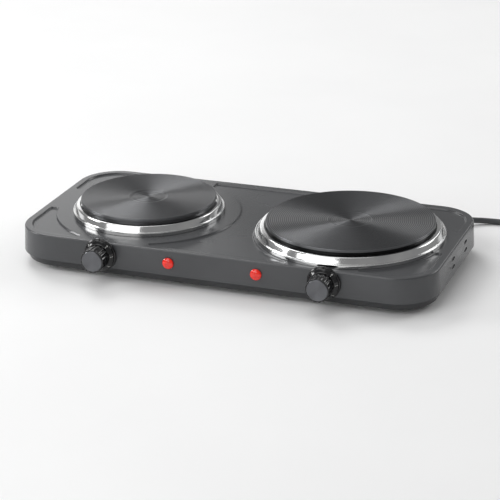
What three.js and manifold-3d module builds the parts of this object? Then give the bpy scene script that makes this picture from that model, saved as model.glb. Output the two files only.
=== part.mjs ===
// Two-plate electric hot plate. Millimetres, +X along the length, +Y to the back, +Z up.
// z = 0 is the surface that the feet stand on; x = 0 and y = 0 are the middle of the whole appliance.
import * as THREE from 'three';
import { mergeVertices } from 'three/addons/utils/BufferGeometryUtils.js';
import Module from 'manifold-3d';

const wasm = await Module();
wasm.setup();

// ---- driving dimensions -------------------------------------------------------------------------
const GAP = 0.3;                  // clearance kept wherever two pieces touch
const HALF_LENGTH = 237.6;        // housing at its top edge
const HALF_DEPTH = 113.3;
const CORNER = 46;                // corner radius of the housing in plan
const DRAFT = 1.1;                // how far the walls lean out at their foot
const PANEL_Z = 43;               // rim of the top panel
const WALL_FOOT_Z = 14.7;         // lower edge of the housing walls
const SHEET = 1.2;                // pressed steel of the housing
const EDGE_ROUND = 1.6;
const FIELD_DEPTH = 1.8;          // depth of the pressed fields in the top panel
const FIELD_SLOPE = 1.6;          // width of their sloping sides
const RIM_WIDTH = 7.6;            // raised rim between the fields and the housing's edge
const STRIP_HALF = 39;            // half the width of the raised strip in front of and behind a burner
const END_STRIP = { length: 120, width: 62, y: 4 };   // raised strip beside each burner
const LOUVRE = { ys: [-18.5, 34], zs: [24.5, 33.3], length: 14.5, height: 3, depth: 12 };
const TRAY_INSET = 3.2;
const TRAY_Z = 6.3;
const TRAY_SHEET = 0.9;
const TRAY_TOP_Z = 21;
const TRAY_ROUND = 2;
const TRAY_SLOT = { width: 5, length: 46, pitch: 16, eachWay: 3 };
const KNOB_NOTCH = { width: 46, rise: 5 };    // what the tray's front wall leaves free for a knob
const LAMP_NOTCH = { width: 16, rise: 6 };
const NOTCH_DEPTH = 12;
const NOTCH_HEIGHT = 20;
const FOOT_RADIUS = 11;
const FOOT_X = 196;
const FOOT_Y = 76;
const FOOT_BORE = 2.6;
const FOOT_POCKET = { radius: 5.5, depth: 3.5 };
const FOOT_SCREW = { hole: 2.3, head: 4.4, headLow: 1.4, headHigh: 3.2, shank: 1.9, top: 13 };
const BURNER_Y = -3.7;
const PLATE_TOP_Z = 60;
const PLATE_EDGE = 3.2;           // depth of the plate's rim
const PLATE_BACK = 5.4;           // depth of its underside below the working face
const PLATE_SKIRT = { inset: 3.3, wall: 3, depth: 13 };
const PLATE_HUB = { radius: 9, foot: 10, bore: 3.3, depth: 12, boreTop: 7 };
const DISH_DEPTH = 0.6;
const WINDING_SIDE = 7.6;         // from the plate's edge to the winding
const HOLE_INSET = 10;            // from the plate's edge to the hole under it in the panel
const KNOBS = [{ side: 'left', x: -129 }, { side: 'right', x: 125.4 }];
const KNOB_Z = 29.5;
const KNOB_FRONT = 138;           // how far the knobs reach in front of the housing's middle
const BEZEL = { inner: 15.2, outer: 18.4, height: 2.3, chamfer: 0.8 };
const SKIRT = { radius: 17.2, top: 14.3, edge: 1.4, height: 4.8 };
const GRIP = { radius: 13.3, dip: 0.7, flutes: 16, pointsPerFlute: 5, recess: 12.1, recessDepth: 2.4 };
const CAP = { radius: 11.8, chamfer: 0.9, chamferDepth: 0.7, height: 2.1 };
const SPINDLE_RADIUS = 3;
const SPINDLE_REACH = 12;         // how far the spindle goes into the knob
const SPINDLE_END = -92;
const REGULATOR = { width: 33, size: 24, standOff: 3, boreDepth: 19.5 };
const BLADE = { offsets: [-9, -3, 3, 9], thick: 1, reach: 8, width: 5, behind: 27.5, below: 4 };
const REGULATOR_SCREW = { offset: 9.5, hole: 2, head: 3, headHeight: 1.4, shank: 1.6 };
const LAMPS = { left: -50, right: 50 };
const LAMP_Z = 29;
const LENS = { radius: 6.25, dome: 3.4, barrel: 4.3, depth: 10, hole: 4.6 };
const CORD_DIAMETER = 6.6;
const CORD_EXIT = { x: 181.5, z: 13.4, hole: 6.2 };
const RELIEF = { length: 25, flange: 7.6, flangeHeight: 2.2, neck: 5.8, tip: 4.3, inside: 6 };
const COIL = { x: 345, y: 148, inner: 25.8, outer: 46.6, height: 14 };
const PLUG = {
  x: 384.5, z: 19, sleeveY: 66, faceY: 21, pinOffset: 9.5, pinRadius: 2.4, pinLength: 19,
};

// The housing's middle sits behind the middle of the whole appliance, because the knobs stand proud.
const SHIFT_Y = (KNOB_FRONT - HALF_DEPTH - DRAFT) / 2;

const BURNERS = [
  { side: 'left', x: -118.6, radius: 76.3, width: 8.2, centre: 21.7, land: 103 },
  { side: 'right', x: 119.4, radius: 92.5, width: 10.7, centre: 24, land: 104.5 },
];

// ---- materials ----------------------------------------------------------------------------------
const finish = (color, roughness, metalness) => () =>
  new THREE.MeshStandardMaterial({ color, roughness, metalness });
const blackEnamel = finish(0x2c2d2f, 0.28, 0.3);
const galvanised = finish(0x8d9296, 0.45, 0.9);
const castIron = finish(0x333436, 0.55, 0.4);
const stainless = finish(0xd5d7d9, 0.12, 1);
const blackPlastic = finish(0x111112, 0.25, 0);
const greyCap = finish(0x5c5d60, 0.35, 0.8);
const redLens = finish(0xd8241c, 0.2, 0);
const rubber = finish(0x1c1c1c, 0.85, 0);
const ceramic = finish(0xe9e4d8, 0.4, 0);
const brass = finish(0xb9974e, 0.35, 1);
const bakelite = finish(0x1d1b1a, 0.5, 0);
const cordSheath = finish(0x2b2c2e, 0.6, 0);
const nickel = finish(0xc9c9c4, 0.2, 1);
const insulation = finish(0x7d7466, 0.9, 0);
const redWire = finish(0x7a2a1d, 0.6, 0);
const glass = finish(0xe8c9b4, 0.1, 0);

// ---- solids -------------------------------------------------------------------------------------
function toManifold(geometry) {
  const bare = geometry.clone();
  bare.deleteAttribute('normal');
  bare.deleteAttribute('uv');
  const merged = mergeVertices(bare, 1e-4);
  return new wasm.Manifold(new wasm.Mesh({
    numProp: 3,
    vertProperties: new Float32Array(merged.attributes.position.array),
    triVerts: new Uint32Array(merged.index.array),
  }));
}

function toGeometry(solid) {
  const mesh = solid.getMesh();
  const geometry = new THREE.BufferGeometry();
  geometry.setAttribute('position', new THREE.BufferAttribute(new Float32Array(mesh.vertProperties), 3));
  geometry.setIndex(new THREE.BufferAttribute(new Uint32Array(mesh.triVerts), 1));
  geometry.computeVertexNormals();
  return geometry;
}

const cut = (body, ...tools) => toGeometry(
  tools.reduce((solid, tool) => solid.subtract(toManifold(tool)), toManifold(body)));
const join = (body, ...others) => toGeometry(
  others.reduce((solid, other) => solid.add(toManifold(other)), toManifold(body)));

// A solid stacked from level loops that all have the same number of points, closed by flat ends.
function stack(loops) {
  const count = loops[0].length;
  const points = loops.flat();
  const faces = [];
  for (let level = 0; level + 1 < loops.length; level += 1) {
    for (let i = 0; i < count; i += 1) {
      const a = level * count + i;
      const b = level * count + (i + 1) % count;
      faces.push(a, b, b + count, a, b + count, a + count);
    }
  }
  const last = (loops.length - 1) * count;
  for (let i = 1; i + 1 < count; i += 1) {
    faces.push(0, i + 1, i, last, last + i, last + i + 1);
  }
  const geometry = new THREE.BufferGeometry();
  const numbers = points.flatMap((p) => [p.x, p.y, p.z]);
  geometry.setAttribute('position', new THREE.Float32BufferAttribute(numbers, 3));
  geometry.setIndex(faces);
  return geometry;
}

function roundedLoop(halfLength, halfDepth, radius, z, segments = 8) {
  const loop = [];
  for (let corner = 0; corner < 4; corner += 1) {
    const sx = corner === 0 || corner === 3 ? 1 : -1;
    const sy = corner < 2 ? 1 : -1;
    for (let i = 0; i <= segments; i += 1) {
      const angle = (corner + i / segments) * Math.PI / 2;
      loop.push(new THREE.Vector3(
        sx * (halfLength - radius) + radius * Math.cos(angle),
        sy * (halfDepth - radius) + radius * Math.sin(angle), z));
    }
  }
  return loop;
}

// A loop of the housing's plan, drawn in by the given inset.
const planLoop = (inset, z) =>
  roundedLoop(HALF_LENGTH - inset, HALF_DEPTH - inset, Math.max(CORNER - inset, 2), z);

function box(sx, sy, sz, x, y, z) {
  return new THREE.BoxGeometry(sx, sy, sz).translate(x, y, z);
}

// A turned solid about the vertical through (x, y); its profile is [radius, z] pairs.
function turned(profile, x, y, segments = 48) {
  const points = profile.map(([r, z]) => new THREE.Vector2(r, z));
  return new THREE.LatheGeometry(points, segments).rotateX(Math.PI / 2).translate(x, y, 0);
}

// A turned solid about a line along Y; its profile is [radius, y] pairs, written from back to front.
function turnedAlongY(profile, x, z, segments = 36) {
  const points = profile.map(([r, y]) => new THREE.Vector2(r, y));
  return new THREE.LatheGeometry(points, segments).translate(x, 0, z);
}

const ring = (inner, outer, low, high) => [
  [inner, low], [outer, low], [outer, high], [inner, high], [inner, low]];
const disc = (radius, low, high) => [[0, low], [radius, low], [radius, high], [0, high]];

// A round tube of one diameter along a smooth curve through the points.
function tube(points, diameter, sides, steps) {
  const section = new THREE.Shape();
  for (let i = 0; i < sides; i += 1) {
    const angle = 2 * Math.PI * i / sides;
    const x = diameter / 2 * Math.cos(angle);
    const y = diameter / 2 * Math.sin(angle);
    if (i === 0) section.moveTo(x, y);
    else section.lineTo(x, y);
  }
  section.closePath();
  const route = points.map((p) => new THREE.Vector3(...p));
  const path = new THREE.CatmullRomCurve3(route, false, 'centripetal');
  return new THREE.ExtrudeGeometry(section, { extrudePath: path, steps, bevelEnabled: false });
}

// ---- the object ---------------------------------------------------------------------------------
const appliance = new THREE.Group();
const housingFrame = new THREE.Group();   // pieces placed from the housing's own middle
housingFrame.position.y = SHIFT_Y;
appliance.add(housingFrame);

function addPiece(name, geometry, material) {
  const mesh = new THREE.Mesh(geometry, material());
  mesh.name = name;
  housingFrame.add(mesh);
  return mesh;
}

// ---- housing ------------------------------------------------------------------------------------
const CUT_HEIGHT = 30;            // tall enough to cut right through the panel

// The space that the pressed fields take out of the panel, grown and lowered by the sheet's thickness
// for the inside. Each burner stands on a round land, and the fields stop beside and around it.
function fieldCutter(grow, floorZ) {
  const over = 2;
  const topZ = PANEL_Z + over;
  const slope = FIELD_SLOPE * (topZ - floorZ) / FIELD_DEPTH;
  const inset = RIM_WIDTH - grow - FIELD_SLOPE * over / FIELD_DEPTH;
  let fields = toManifold(stack([planLoop(inset + slope, floorZ), planLoop(inset, topZ)]));
  const lift = FIELD_SLOPE * (PANEL_Z - floorZ) / FIELD_DEPTH;
  for (const { x, land } of BURNERS) {
    const foot = land - grow + lift;
    const head = foot - slope * (topZ - floorZ + 2) / (topZ - floorZ);
    const cone = [[0, floorZ - 1], [foot, floorZ - 1], [head, topZ + 1], [0, topZ + 1]];
    fields = fields.subtract(toManifold(turned(cone, x, BURNER_Y, 40)));
    fields = fields.subtract(toManifold(
      box(2 * (STRIP_HALF - grow), 2 * HALF_DEPTH, CUT_HEIGHT, x, 0, PANEL_Z)));
  }
  const { length, width, y } = END_STRIP;
  for (const end of [-1, 1]) {
    fields = fields.subtract(toManifold(
      box(length, width - 2 * grow, CUT_HEIGHT, end * (HALF_LENGTH - 20), y, PANEL_Z)));
  }
  return fields;
}

function topHousing() {
  const outer = stack([
    planLoop(-DRAFT, WALL_FOOT_Z),
    planLoop(-0.05, PANEL_Z - EDGE_ROUND),
    planLoop(EDGE_ROUND * 0.3, PANEL_Z - EDGE_ROUND * 0.3),
    planLoop(EDGE_ROUND, PANEL_Z),
  ]);
  const inner = stack([
    planLoop(SHEET - DRAFT - 0.04, WALL_FOOT_Z - 1),
    planLoop(SHEET, PANEL_Z - EDGE_ROUND),
    planLoop(SHEET + EDGE_ROUND * 0.5, PANEL_Z - SHEET),
  ]);
  const inside = toManifold(inner).subtract(fieldCutter(SHEET, PANEL_Z - FIELD_DEPTH - SHEET));
  let shell = toManifold(outer).subtract(fieldCutter(0, PANEL_Z - FIELD_DEPTH)).subtract(inside);
  for (const tool of [...burnerHoles(), ...frontHoles(), ...louvres(), cordHole()]) {
    shell = shell.subtract(toManifold(tool));
  }
  return toGeometry(shell);
}

function burnerHoles() {
  const below = PANEL_Z - 13;
  return BURNERS.map(({ x, radius }) =>
    turned(disc(radius - HOLE_INSET, below, PLATE_TOP_Z), x, BURNER_Y));
}

// Round holes through the front wall for the lamps, the spindles and the regulators' screws.
function frontHoles() {
  const through = (radius, x, z, sides) =>
    turnedAlongY(disc(radius, -HALF_DEPTH - 12, -HALF_DEPTH + 23), x, z, sides);
  const lamps = Object.values(LAMPS).map((x) => through(LENS.hole, x, LAMP_Z, 24));
  const { offset, hole } = REGULATOR_SCREW;
  const knobs = KNOBS.flatMap(({ x }) => [
    through(SPINDLE_RADIUS + 2, x, KNOB_Z, 24),
    through(hole, x - offset, KNOB_Z, 12),
    through(hole, x + offset, KNOB_Z, 12),
  ]);
  return [...lamps, ...knobs];
}

function louvres() {
  const { ys, zs, length, height, depth } = LOUVRE;
  const places = [-1, 1].flatMap((end) => ys.flatMap((y) => zs.map((z) => [end, y, z])));
  return places.map(([end, y, z]) => box(depth, length, height, end * HALF_LENGTH, y, z));
}

function cordHole() {
  const wall = disc(CORD_EXIT.hole, HALF_DEPTH - 23, HALF_DEPTH + 12);
  return turnedAlongY(wall, CORD_EXIT.x, CORD_EXIT.z, 24);
}

function baseTray() {
  const wall = TRAY_INSET;
  const outer = stack([
    planLoop(wall + TRAY_ROUND, TRAY_Z),
    planLoop(wall, TRAY_Z + TRAY_ROUND),
    planLoop(wall, TRAY_TOP_Z),
  ]);
  const inner = stack([
    planLoop(wall + TRAY_ROUND + TRAY_SHEET, TRAY_Z + TRAY_SHEET),
    planLoop(wall + TRAY_SHEET, TRAY_Z + TRAY_ROUND + TRAY_SHEET / 2),
    planLoop(wall + TRAY_SHEET, TRAY_TOP_Z + 1),
  ]);
  return cut(outer, inner, ...traySlots(), ...footHoles(), ...frontNotches(), cordHole());
}

function traySlots() {
  const { width, length, pitch, eachWay } = TRAY_SLOT;
  const slots = [];
  for (const { x } of BURNERS) {
    for (let i = -eachWay; i <= eachWay; i += 1) {
      slots.push(box(width, length, 6, x + i * pitch, BURNER_Y, TRAY_Z));
    }
  }
  return slots;
}

function footHoles() {
  const hole = disc(FOOT_SCREW.hole, TRAY_Z - 2, TRAY_Z + 4);
  return [-1, 1].flatMap((sx) => [-1, 1].map((sy) => turned(hole, sx * FOOT_X, sy * FOOT_Y, 16)));
}

// The tray's front wall is cut away behind each knob and lamp.
function frontNotches() {
  const notch = ({ width, rise }, x) =>
    box(width, NOTCH_DEPTH, NOTCH_HEIGHT, x, -HALF_DEPTH + 5, TRAY_TOP_Z + rise);
  return [
    ...KNOBS.map(({ x }) => notch(KNOB_NOTCH, x)),
    ...Object.values(LAMPS).map((x) => notch(LAMP_NOTCH, x)),
  ];
}

function foot(x, y) {
  const top = TRAY_Z - GAP;
  const { radius, depth } = FOOT_POCKET;
  return turned([
    [FOOT_BORE, top], [FOOT_BORE, depth], [radius, depth], [radius, 0], [FOOT_RADIUS - 2.2, 0],
    [FOOT_RADIUS - 0.6, 0.6], [FOOT_RADIUS, top], [FOOT_BORE, top],
  ], x, y, 20);
}

function footScrew(x, y) {
  const { head, headLow, headHigh, shank, top } = FOOT_SCREW;
  return join(turned(disc(head, headLow, headHigh), x, y, 14),
    turned(disc(shank, headLow + 0.6, top), x, y, 8));
}

addPiece('top_housing', topHousing(), blackEnamel);
addPiece('base_tray', baseTray(), blackEnamel);
for (const [fore, sy] of [['front', -1], ['back', 1]]) {
  for (const [side, sx] of [['left', -1], ['right', 1]]) {
    addPiece(`foot_${fore}_${side}`, foot(sx * FOOT_X, sy * FOOT_Y), rubber);
    addPiece(`foot_screw_${fore}_${side}`, footScrew(sx * FOOT_X, sy * FOOT_Y), nickel);
  }
}

// ---- burners ------------------------------------------------------------------------------------
// Cast plate: flat working face with a shallow dished centre, a rim that overhangs the skirt, and an
// annular channel underneath for the heating winding.
function hotPlate({ x, radius, centre }) {
  const z = PLATE_TOP_Z;
  const edge = z - PLATE_EDGE;
  const back = z - PLATE_BACK;
  const dish = z - DISH_DEPTH;
  const skirt = radius - PLATE_SKIRT.inset;
  const skirtFoot = z - PLATE_SKIRT.depth;
  const inner = skirt - PLATE_SKIRT.wall;
  const { radius: hub, foot: hubFoot, bore, depth, boreTop } = PLATE_HUB;
  return turned([
    [0, dish], [centre - 1.2, dish], [centre, z], [radius - 1, z],
    [radius, z - 1], [radius, edge], [skirt, edge - 0.6], [skirt, skirtFoot], [inner, skirtFoot],
    [inner - 0.6, back], [hubFoot, back], [hub, z - depth], [bore, z - depth],
    [bore, z - boreTop], [0, z - boreTop],
  ].reverse(), x, BURNER_Y, 48);
}

// Pressed stainless ring round a plate: flat collar, a slope down, a groove and a rolled outer bead.
function trimRing({ x, radius, width }) {
  const r = radius + 1;
  const z = PANEL_Z;
  const sheet = 0.8;
  const outer = r + width;
  const collar = radius - 2.8;
  const groove = r + width * 0.74;
  return turned([
    [collar, z + 8.2], [r + 0.6, z + 8.2], [r + width * 0.4, z + 9.8],
    [groove, z + 4.2], [outer - sheet, z + 4], [outer - sheet, z + GAP],
    [outer, z + GAP], [outer, z + 3.8], [outer - sheet, z + 4.9], [groove, z + 5.1],
    [r + width * 0.43, z + 10.7], [r + 0.3, z + 11.1], [r - 0.3, z + 9], [collar, z + 9],
    [collar, z + 8.2],
  ], x, BURNER_Y, 48);
}

const WINDING = { low: PLATE_TOP_Z - 10, high: PLATE_TOP_Z - 5.8 };
const COVER = { inner: 10.2, low: PLATE_TOP_Z - 11.4, high: PLATE_TOP_Z - 10.6 };
const UNDER_PANEL = PANEL_Z - SHEET - FIELD_DEPTH;
const CLAMP_BAR = { width: 20, thick: 2.4, hole: 3.4 };
const CLAMP_BOLT = { headRadius: 5.77, headHeight: 4, shank: 3, top: PLATE_TOP_Z - 7.4 };
const TERMINALS = { x: 30, y: 18, z: PLATE_TOP_Z - 16.3, size: [26, 12, 9], pitch: 8, hole: 1.8 };

function heatingWinding({ x, radius, centre }) {
  const { low, high } = WINDING;
  return turned(ring(centre, radius - WINDING_SIDE, low, high), x, BURNER_Y, 40);
}

function coverDisc({ x, radius }) {
  const { inner, low, high } = COVER;
  return turned(ring(inner, radius - WINDING_SIDE, low, high), x, BURNER_Y, 40);
}

function clampBar({ x, radius }) {
  const { width, thick, hole } = CLAMP_BAR;
  const bar = box(2 * radius + 4, width, thick, x, BURNER_Y, UNDER_PANEL - thick);
  return cut(bar, turned(disc(hole, UNDER_PANEL - 10, UNDER_PANEL + 10), x, BURNER_Y, 16));
}

function clampBolt({ x }) {
  const { headRadius, headHeight, shank, top } = CLAMP_BOLT;
  const underBar = UNDER_PANEL - 1.5 * CLAMP_BAR.thick - GAP;
  const head = new THREE.CylinderGeometry(headRadius, headRadius, headHeight, 6)
    .rotateX(Math.PI / 2)
    .translate(x, BURNER_Y, underBar - headHeight / 2);
  return join(head, turned(disc(shank, underBar - 1, top), x, BURNER_Y, 16));
}

function terminalBlock({ x }) {
  const { size, pitch, hole } = TERMINALS;
  const place = [x + TERMINALS.x, BURNER_Y + TERMINALS.y];
  const foot = TERMINALS.z - size[2] / 2;
  const holes = [-pitch, 0, pitch].map((offset) =>
    turned(disc(hole, foot - 1.2, foot + 3.8), place[0] + offset, place[1], 10));
  return cut(box(...size, ...place, TERMINALS.z), ...holes);
}

for (const burner of BURNERS) {
  addPiece(`${burner.side}_hot_plate`, hotPlate(burner), castIron);
  addPiece(`${burner.side}_trim_ring`, trimRing(burner), stainless);
  addPiece(`${burner.side}_heating_winding`, heatingWinding(burner), insulation);
  addPiece(`${burner.side}_plate_cover`, coverDisc(burner), galvanised);
  addPiece(`${burner.side}_clamp_bar`, clampBar(burner), galvanised);
  addPiece(`${burner.side}_clamp_bolt`, clampBolt(burner), nickel);
  addPiece(`${burner.side}_plate_terminals`, terminalBlock(burner), ceramic);
}

// ---- controls -----------------------------------------------------------------------------------
const WALL_FRONT = -HALF_DEPTH - DRAFT - GAP;   // just in front of the housing's front wall

const KNOB_BACK = WALL_FRONT - BEZEL.height - GAP;

function bezel(x) {
  const { inner, outer, height, chamfer } = BEZEL;
  return turnedAlongY([
    [inner, WALL_FRONT], [outer, WALL_FRONT], [outer, WALL_FRONT - height + chamfer],
    [outer - chamfer, WALL_FRONT - height], [inner, WALL_FRONT - height], [inner, WALL_FRONT],
  ].reverse(), x, KNOB_Z, 28);
}

function flutedSection() {
  const { radius, dip, flutes, pointsPerFlute } = GRIP;
  const section = new THREE.Shape();
  const count = flutes * pointsPerFlute;
  for (let i = 0; i < count; i += 1) {
    const angle = 2 * Math.PI * i / count;
    const r = radius - dip * Math.abs(Math.cos(flutes * angle / 2)) ** 4;
    const point = [r * Math.cos(angle), r * Math.sin(angle)];
    if (i === 0) section.moveTo(...point);
    else section.lineTo(...point);
  }
  section.closePath();
  return section;
}

// Black knob: a conical skirt that carries the scale, and a fluted grip with a recess for its cap.
function knob(x) {
  const back = KNOB_BACK;
  const depth = KNOB_FRONT - 1 + back;
  const grip = new THREE.ExtrudeGeometry(flutedSection(), { depth, bevelEnabled: false, steps: 1 })
    .rotateX(Math.PI / 2).translate(x, back, KNOB_Z);
  const { radius, top, edge, height } = SKIRT;
  const skirt = turnedAlongY([
    [0, back], [radius, back], [radius, back - edge], [top, back - height], [0, back - height],
  ].reverse(), x, KNOB_Z, 32);
  const hollow = disc(GRIP.recess, -KNOB_FRONT - 2, -KNOB_FRONT + GRIP.recessDepth);
  const bore = disc(SPINDLE_RADIUS + GAP, back - SPINDLE_REACH - 1, back + 1);
  return cut(join(grip, skirt), turnedAlongY(hollow, x, KNOB_Z, 28), turnedAlongY(bore, x, KNOB_Z, 20));
}

function knobCap(x) {
  const front = -KNOB_FRONT;
  const { radius, chamfer, chamferDepth, height } = CAP;
  return turnedAlongY([
    [0, front], [radius - chamfer, front], [radius, front + chamferDepth],
    [radius, front + height], [0, front + height],
  ], x, KNOB_Z, 28);
}

function spindle(x) {
  const tip = WALL_FRONT - BEZEL.height - SPINDLE_REACH;
  return turnedAlongY(disc(SPINDLE_RADIUS, tip, SPINDLE_END), x, KNOB_Z, 20);
}

// Energy regulator behind each knob, with a bore for the spindle and four blade terminals at its back.
function regulator(x) {
  const { width, size, standOff, boreDepth } = REGULATOR;
  const front = -HALF_DEPTH + standOff;
  const body = box(width, size, size, x, front + size / 2, KNOB_Z);
  const { offsets, thick, reach, width: bladeWidth, behind, below } = BLADE;
  const blades = offsets.map((offset) =>
    box(thick, reach, bladeWidth, x + offset, front + behind, KNOB_Z - below));
  const bore = disc(SPINDLE_RADIUS + GAP, front - 1, front + boreDepth);
  return cut(join(body, ...blades), turnedAlongY(bore, x, KNOB_Z, 20));
}

function regulatorScrew(x) {
  const { head, headHeight, shank } = REGULATOR_SCREW;
  const end = -HALF_DEPTH + REGULATOR.standOff - GAP;
  return join(
    turnedAlongY(disc(head, WALL_FRONT - headHeight, WALL_FRONT), x, KNOB_Z, 12),
    turnedAlongY(disc(shank, WALL_FRONT - headHeight / 2, end), x, KNOB_Z, 8));
}

function lampLens(x) {
  const wall = WALL_FRONT;
  const { radius, dome, barrel, depth } = LENS;
  return turnedAlongY([
    [0, wall - dome], [2.6, wall - 3.1], [4.7, wall - 2.2], [5.9, wall - 1], [radius, wall],
    [barrel, wall], [barrel, wall + depth], [0, wall + depth],
  ], x, LAMP_Z, 20);
}

function neonTube(x) {
  const start = WALL_FRONT + LENS.depth + GAP;
  return turnedAlongY([
    [0, start], [1.6, start + 0.6], [3, start + 2.4], [3, start + 14], [0, start + 14],
  ], x, LAMP_Z, 10);
}

for (const { side, x } of KNOBS) {
  addPiece(`${side}_knob_bezel`, bezel(x), blackPlastic);
  addPiece(`${side}_knob`, knob(x), blackPlastic);
  addPiece(`${side}_knob_cap`, knobCap(x), greyCap);
  addPiece(`${side}_spindle`, spindle(x), nickel);
  addPiece(`${side}_regulator`, regulator(x), bakelite);
  addPiece(`${side}_regulator_screw_1`, regulatorScrew(x - REGULATOR_SCREW.offset), nickel);
  addPiece(`${side}_regulator_screw_2`, regulatorScrew(x + REGULATOR_SCREW.offset), nickel);
  addPiece(`${side}_lamp_lens`, lampLens(LAMPS[side]), redLens);
  addPiece(`${side}_neon_tube`, neonTube(LAMPS[side]), glass);
}

// ---- mains connection and inner wiring ----------------------------------------------------------
const TRAY_FLOOR_Z = TRAY_Z + TRAY_SHEET + GAP;   // just above the tray's floor
const MAINS_BLOCK = { x: 214, y: 62, size: [16, 34, 12], pitch: 10, hole: 2.2 };
const EARTH = { x: 186, y: 62, nutRadius: 4, nutHeight: 3, stud: 2, height: 9 };
const SADDLE = { y: 95, size: [24, 9, 11] };

function mainsBlock() {
  const { x, y, size, pitch, hole } = MAINS_BLOCK;
  const middle = TRAY_FLOOR_Z + size[2] / 2;
  const holes = [-pitch, 0, pitch].map((offset) =>
    turned(disc(hole, middle + 1, middle + 8), x, y + offset, 12));
  return cut(box(...size, x, y, middle), ...holes);
}

function earthStud() {
  const { x, y, nutRadius, nutHeight, stud, height } = EARTH;
  const nut = new THREE.CylinderGeometry(nutRadius, nutRadius, nutHeight, 6)
    .rotateX(Math.PI / 2)
    .translate(x, y, TRAY_FLOOR_Z + nutHeight / 2);
  return join(nut, turned(disc(stud, TRAY_FLOOR_Z + 1, TRAY_FLOOR_Z + height), x, y, 14));
}

// Saddle screwed to the tray that grips the cord just inside the housing.
function cordSaddle() {
  const { y, size } = SADDLE;
  const grip = disc(CORD_DIAMETER / 2 + GAP, y - 15, y + 15);
  return cut(box(...size, CORD_EXIT.x, y, TRAY_FLOOR_Z + size[2] / 2),
    turnedAlongY(grip, CORD_EXIT.x, CORD_EXIT.z, 20));
}

const WIRE = 2.6;
const wireRoutes = {
  mains_wire_left: [[202, 52, 14], [188, 40, 11], [150, 30, 10], [60, 20, 10], [-20, -20, 10],
    [-90, -62, 11], [-121, -72, 14], [-129.8, -78.5, 22]],
  mains_wire_right: [[202, 62, 16.5], [190, 56, 18], [178, 30, 20], [160, -20, 21], [136, -60, 22],
    [124.2, -78.5, 22]],
  burner_wire_left: [[-119.8, -78.4, 25.5], [-108, -66, 28], [-95, -40, 31], [-89.5, -12, 32.5],
    [-88.6, 6, 32.8], [-88.6, 12.6, 35], [-88.6, 14.3, 38.8]],
  burner_wire_right: [[134.2, -78.4, 25.5], [141, -66, 28], [147, -40, 31], [149.4, -12, 32.5],
    [149.4, 6, 32.8], [149.4, 12.6, 35], [149.4, 14.3, 38.8]],
};

addPiece('mains_terminal_block', mainsBlock(), ceramic);
addPiece('earth_stud', earthStud(), brass);
addPiece('cord_saddle', cordSaddle(), bakelite);
for (const [name, points] of Object.entries(wireRoutes)) {
  addPiece(name, tube(points, WIRE, 6, 3 * points.length), redWire);
}

// ---- cord and plug ------------------------------------------------------------------------------
const cordStart = HALF_DEPTH + DRAFT + GAP;   // just outside the back wall, inside the strain relief

// The lead runs straight back through its relief, turns right as it comes down, and runs to the coil.
const cordRun = [
  [181.5, cordStart, 13.4], [181.5, 127, 13.4], [181.5, 139.5, 13.4], [181.7, 144, 13.3],
  [182.9, 149.5, 12.8], [185.3, 155, 12], [189, 160, 10.8], [193.8, 164.3, 9.4],
  [199.5, 168, 8.1], [206, 171.7, 6.9], [214, 176.3, 5.6], [222, 180.6, 4.6],
  [230, 183.4, 3.9], [238, 184.8, 3.5], [247, 185.2, 3.4], [258, 185.4, 3.4],
  [276, 185.5, 3.4], [295, 185.4, 3.4], [311, 186.2, 3.4],
];
// From the top of the coil the lead rises to the plug, which lies on its side.
const cordTail = [
  [383.8, 115.6, 10.3], [384.2, 108, 10.6], [384.5, 98, 12], [384.5, 88, 14.6], [384.5, 78, 17.2],
  [384.5, 71, 18.6], [384.5, PLUG.sleeveY + GAP, 19],
];

function strainRelief() {
  const wall = cordStart;
  const bore = CORD_DIAMETER / 2 + GAP;
  const { length, flange, flangeHeight, neck, tip, inside } = RELIEF;
  return turnedAlongY([
    [bore, wall - inside], [neck, wall - inside], [neck, wall], [flange, wall],
    [flange, wall + flangeHeight], [neck - 0.2, wall + flangeHeight + 0.8],
    [tip, wall + length], [bore, wall + length], [bore, wall - inside],
  ], CORD_EXIT.x, CORD_EXIT.z, 20);
}

function cordInside() {
  const length = disc(CORD_DIAMETER / 2, SADDLE.y - 19, HALF_DEPTH + DRAFT);
  return turnedAlongY(length, CORD_EXIT.x, CORD_EXIT.z, 12);
}

function coilRing() {
  const { x, y, inner, outer, height } = COIL;
  return turned(ring(inner, outer, 0, height), x, y, 40);
}

function plugBody() {
  const { x, z, sleeveY, faceY } = PLUG;
  const body = turnedAlongY([
    [0, faceY], [17.8, faceY], [18.7, faceY + 1.2], [18.7, faceY + 14], [17, faceY + 18],
    [11.5, faceY + 24], [7.6, faceY + 30], [5.4, sleeveY], [0, sleeveY],
  ], x, z, 24);
  const slots = [-1, 1].map((sz) => box(8, 20, 4, x, faceY + 9, z + sz * 18.4));
  return cut(body, ...slots);
}

function plugPin(x) {
  const { z, faceY, pinLength, pinRadius } = PLUG;
  const root = faceY - GAP;
  const tip = root - pinLength;
  return turnedAlongY([
    [0, tip], [pinRadius - 0.8, tip], [pinRadius, tip + 1.4], [pinRadius, root], [0, root],
  ], x, z, 10);
}

addPiece('cord_inside', cordInside(), cordSheath);
addPiece('strain_relief', strainRelief(), blackPlastic);
addPiece('cord_run', tube(cordRun, CORD_DIAMETER, 8, 24), cordSheath);
addPiece('cord_coil', coilRing(), cordSheath);
addPiece('cord_tail', tube(cordTail, CORD_DIAMETER, 8, 8), cordSheath);
addPiece('plug_body', plugBody(), blackPlastic);
addPiece('plug_pin_1', plugPin(PLUG.x - PLUG.pinOffset), nickel);
addPiece('plug_pin_2', plugPin(PLUG.x + PLUG.pinOffset), nickel);

export default appliance;
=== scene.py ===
"""Two-plate electric hot plate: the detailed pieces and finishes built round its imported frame.

Every size is in metres, in the frame's own axes: +X along the length, +Y to the back, +Z up.
"""

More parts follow.
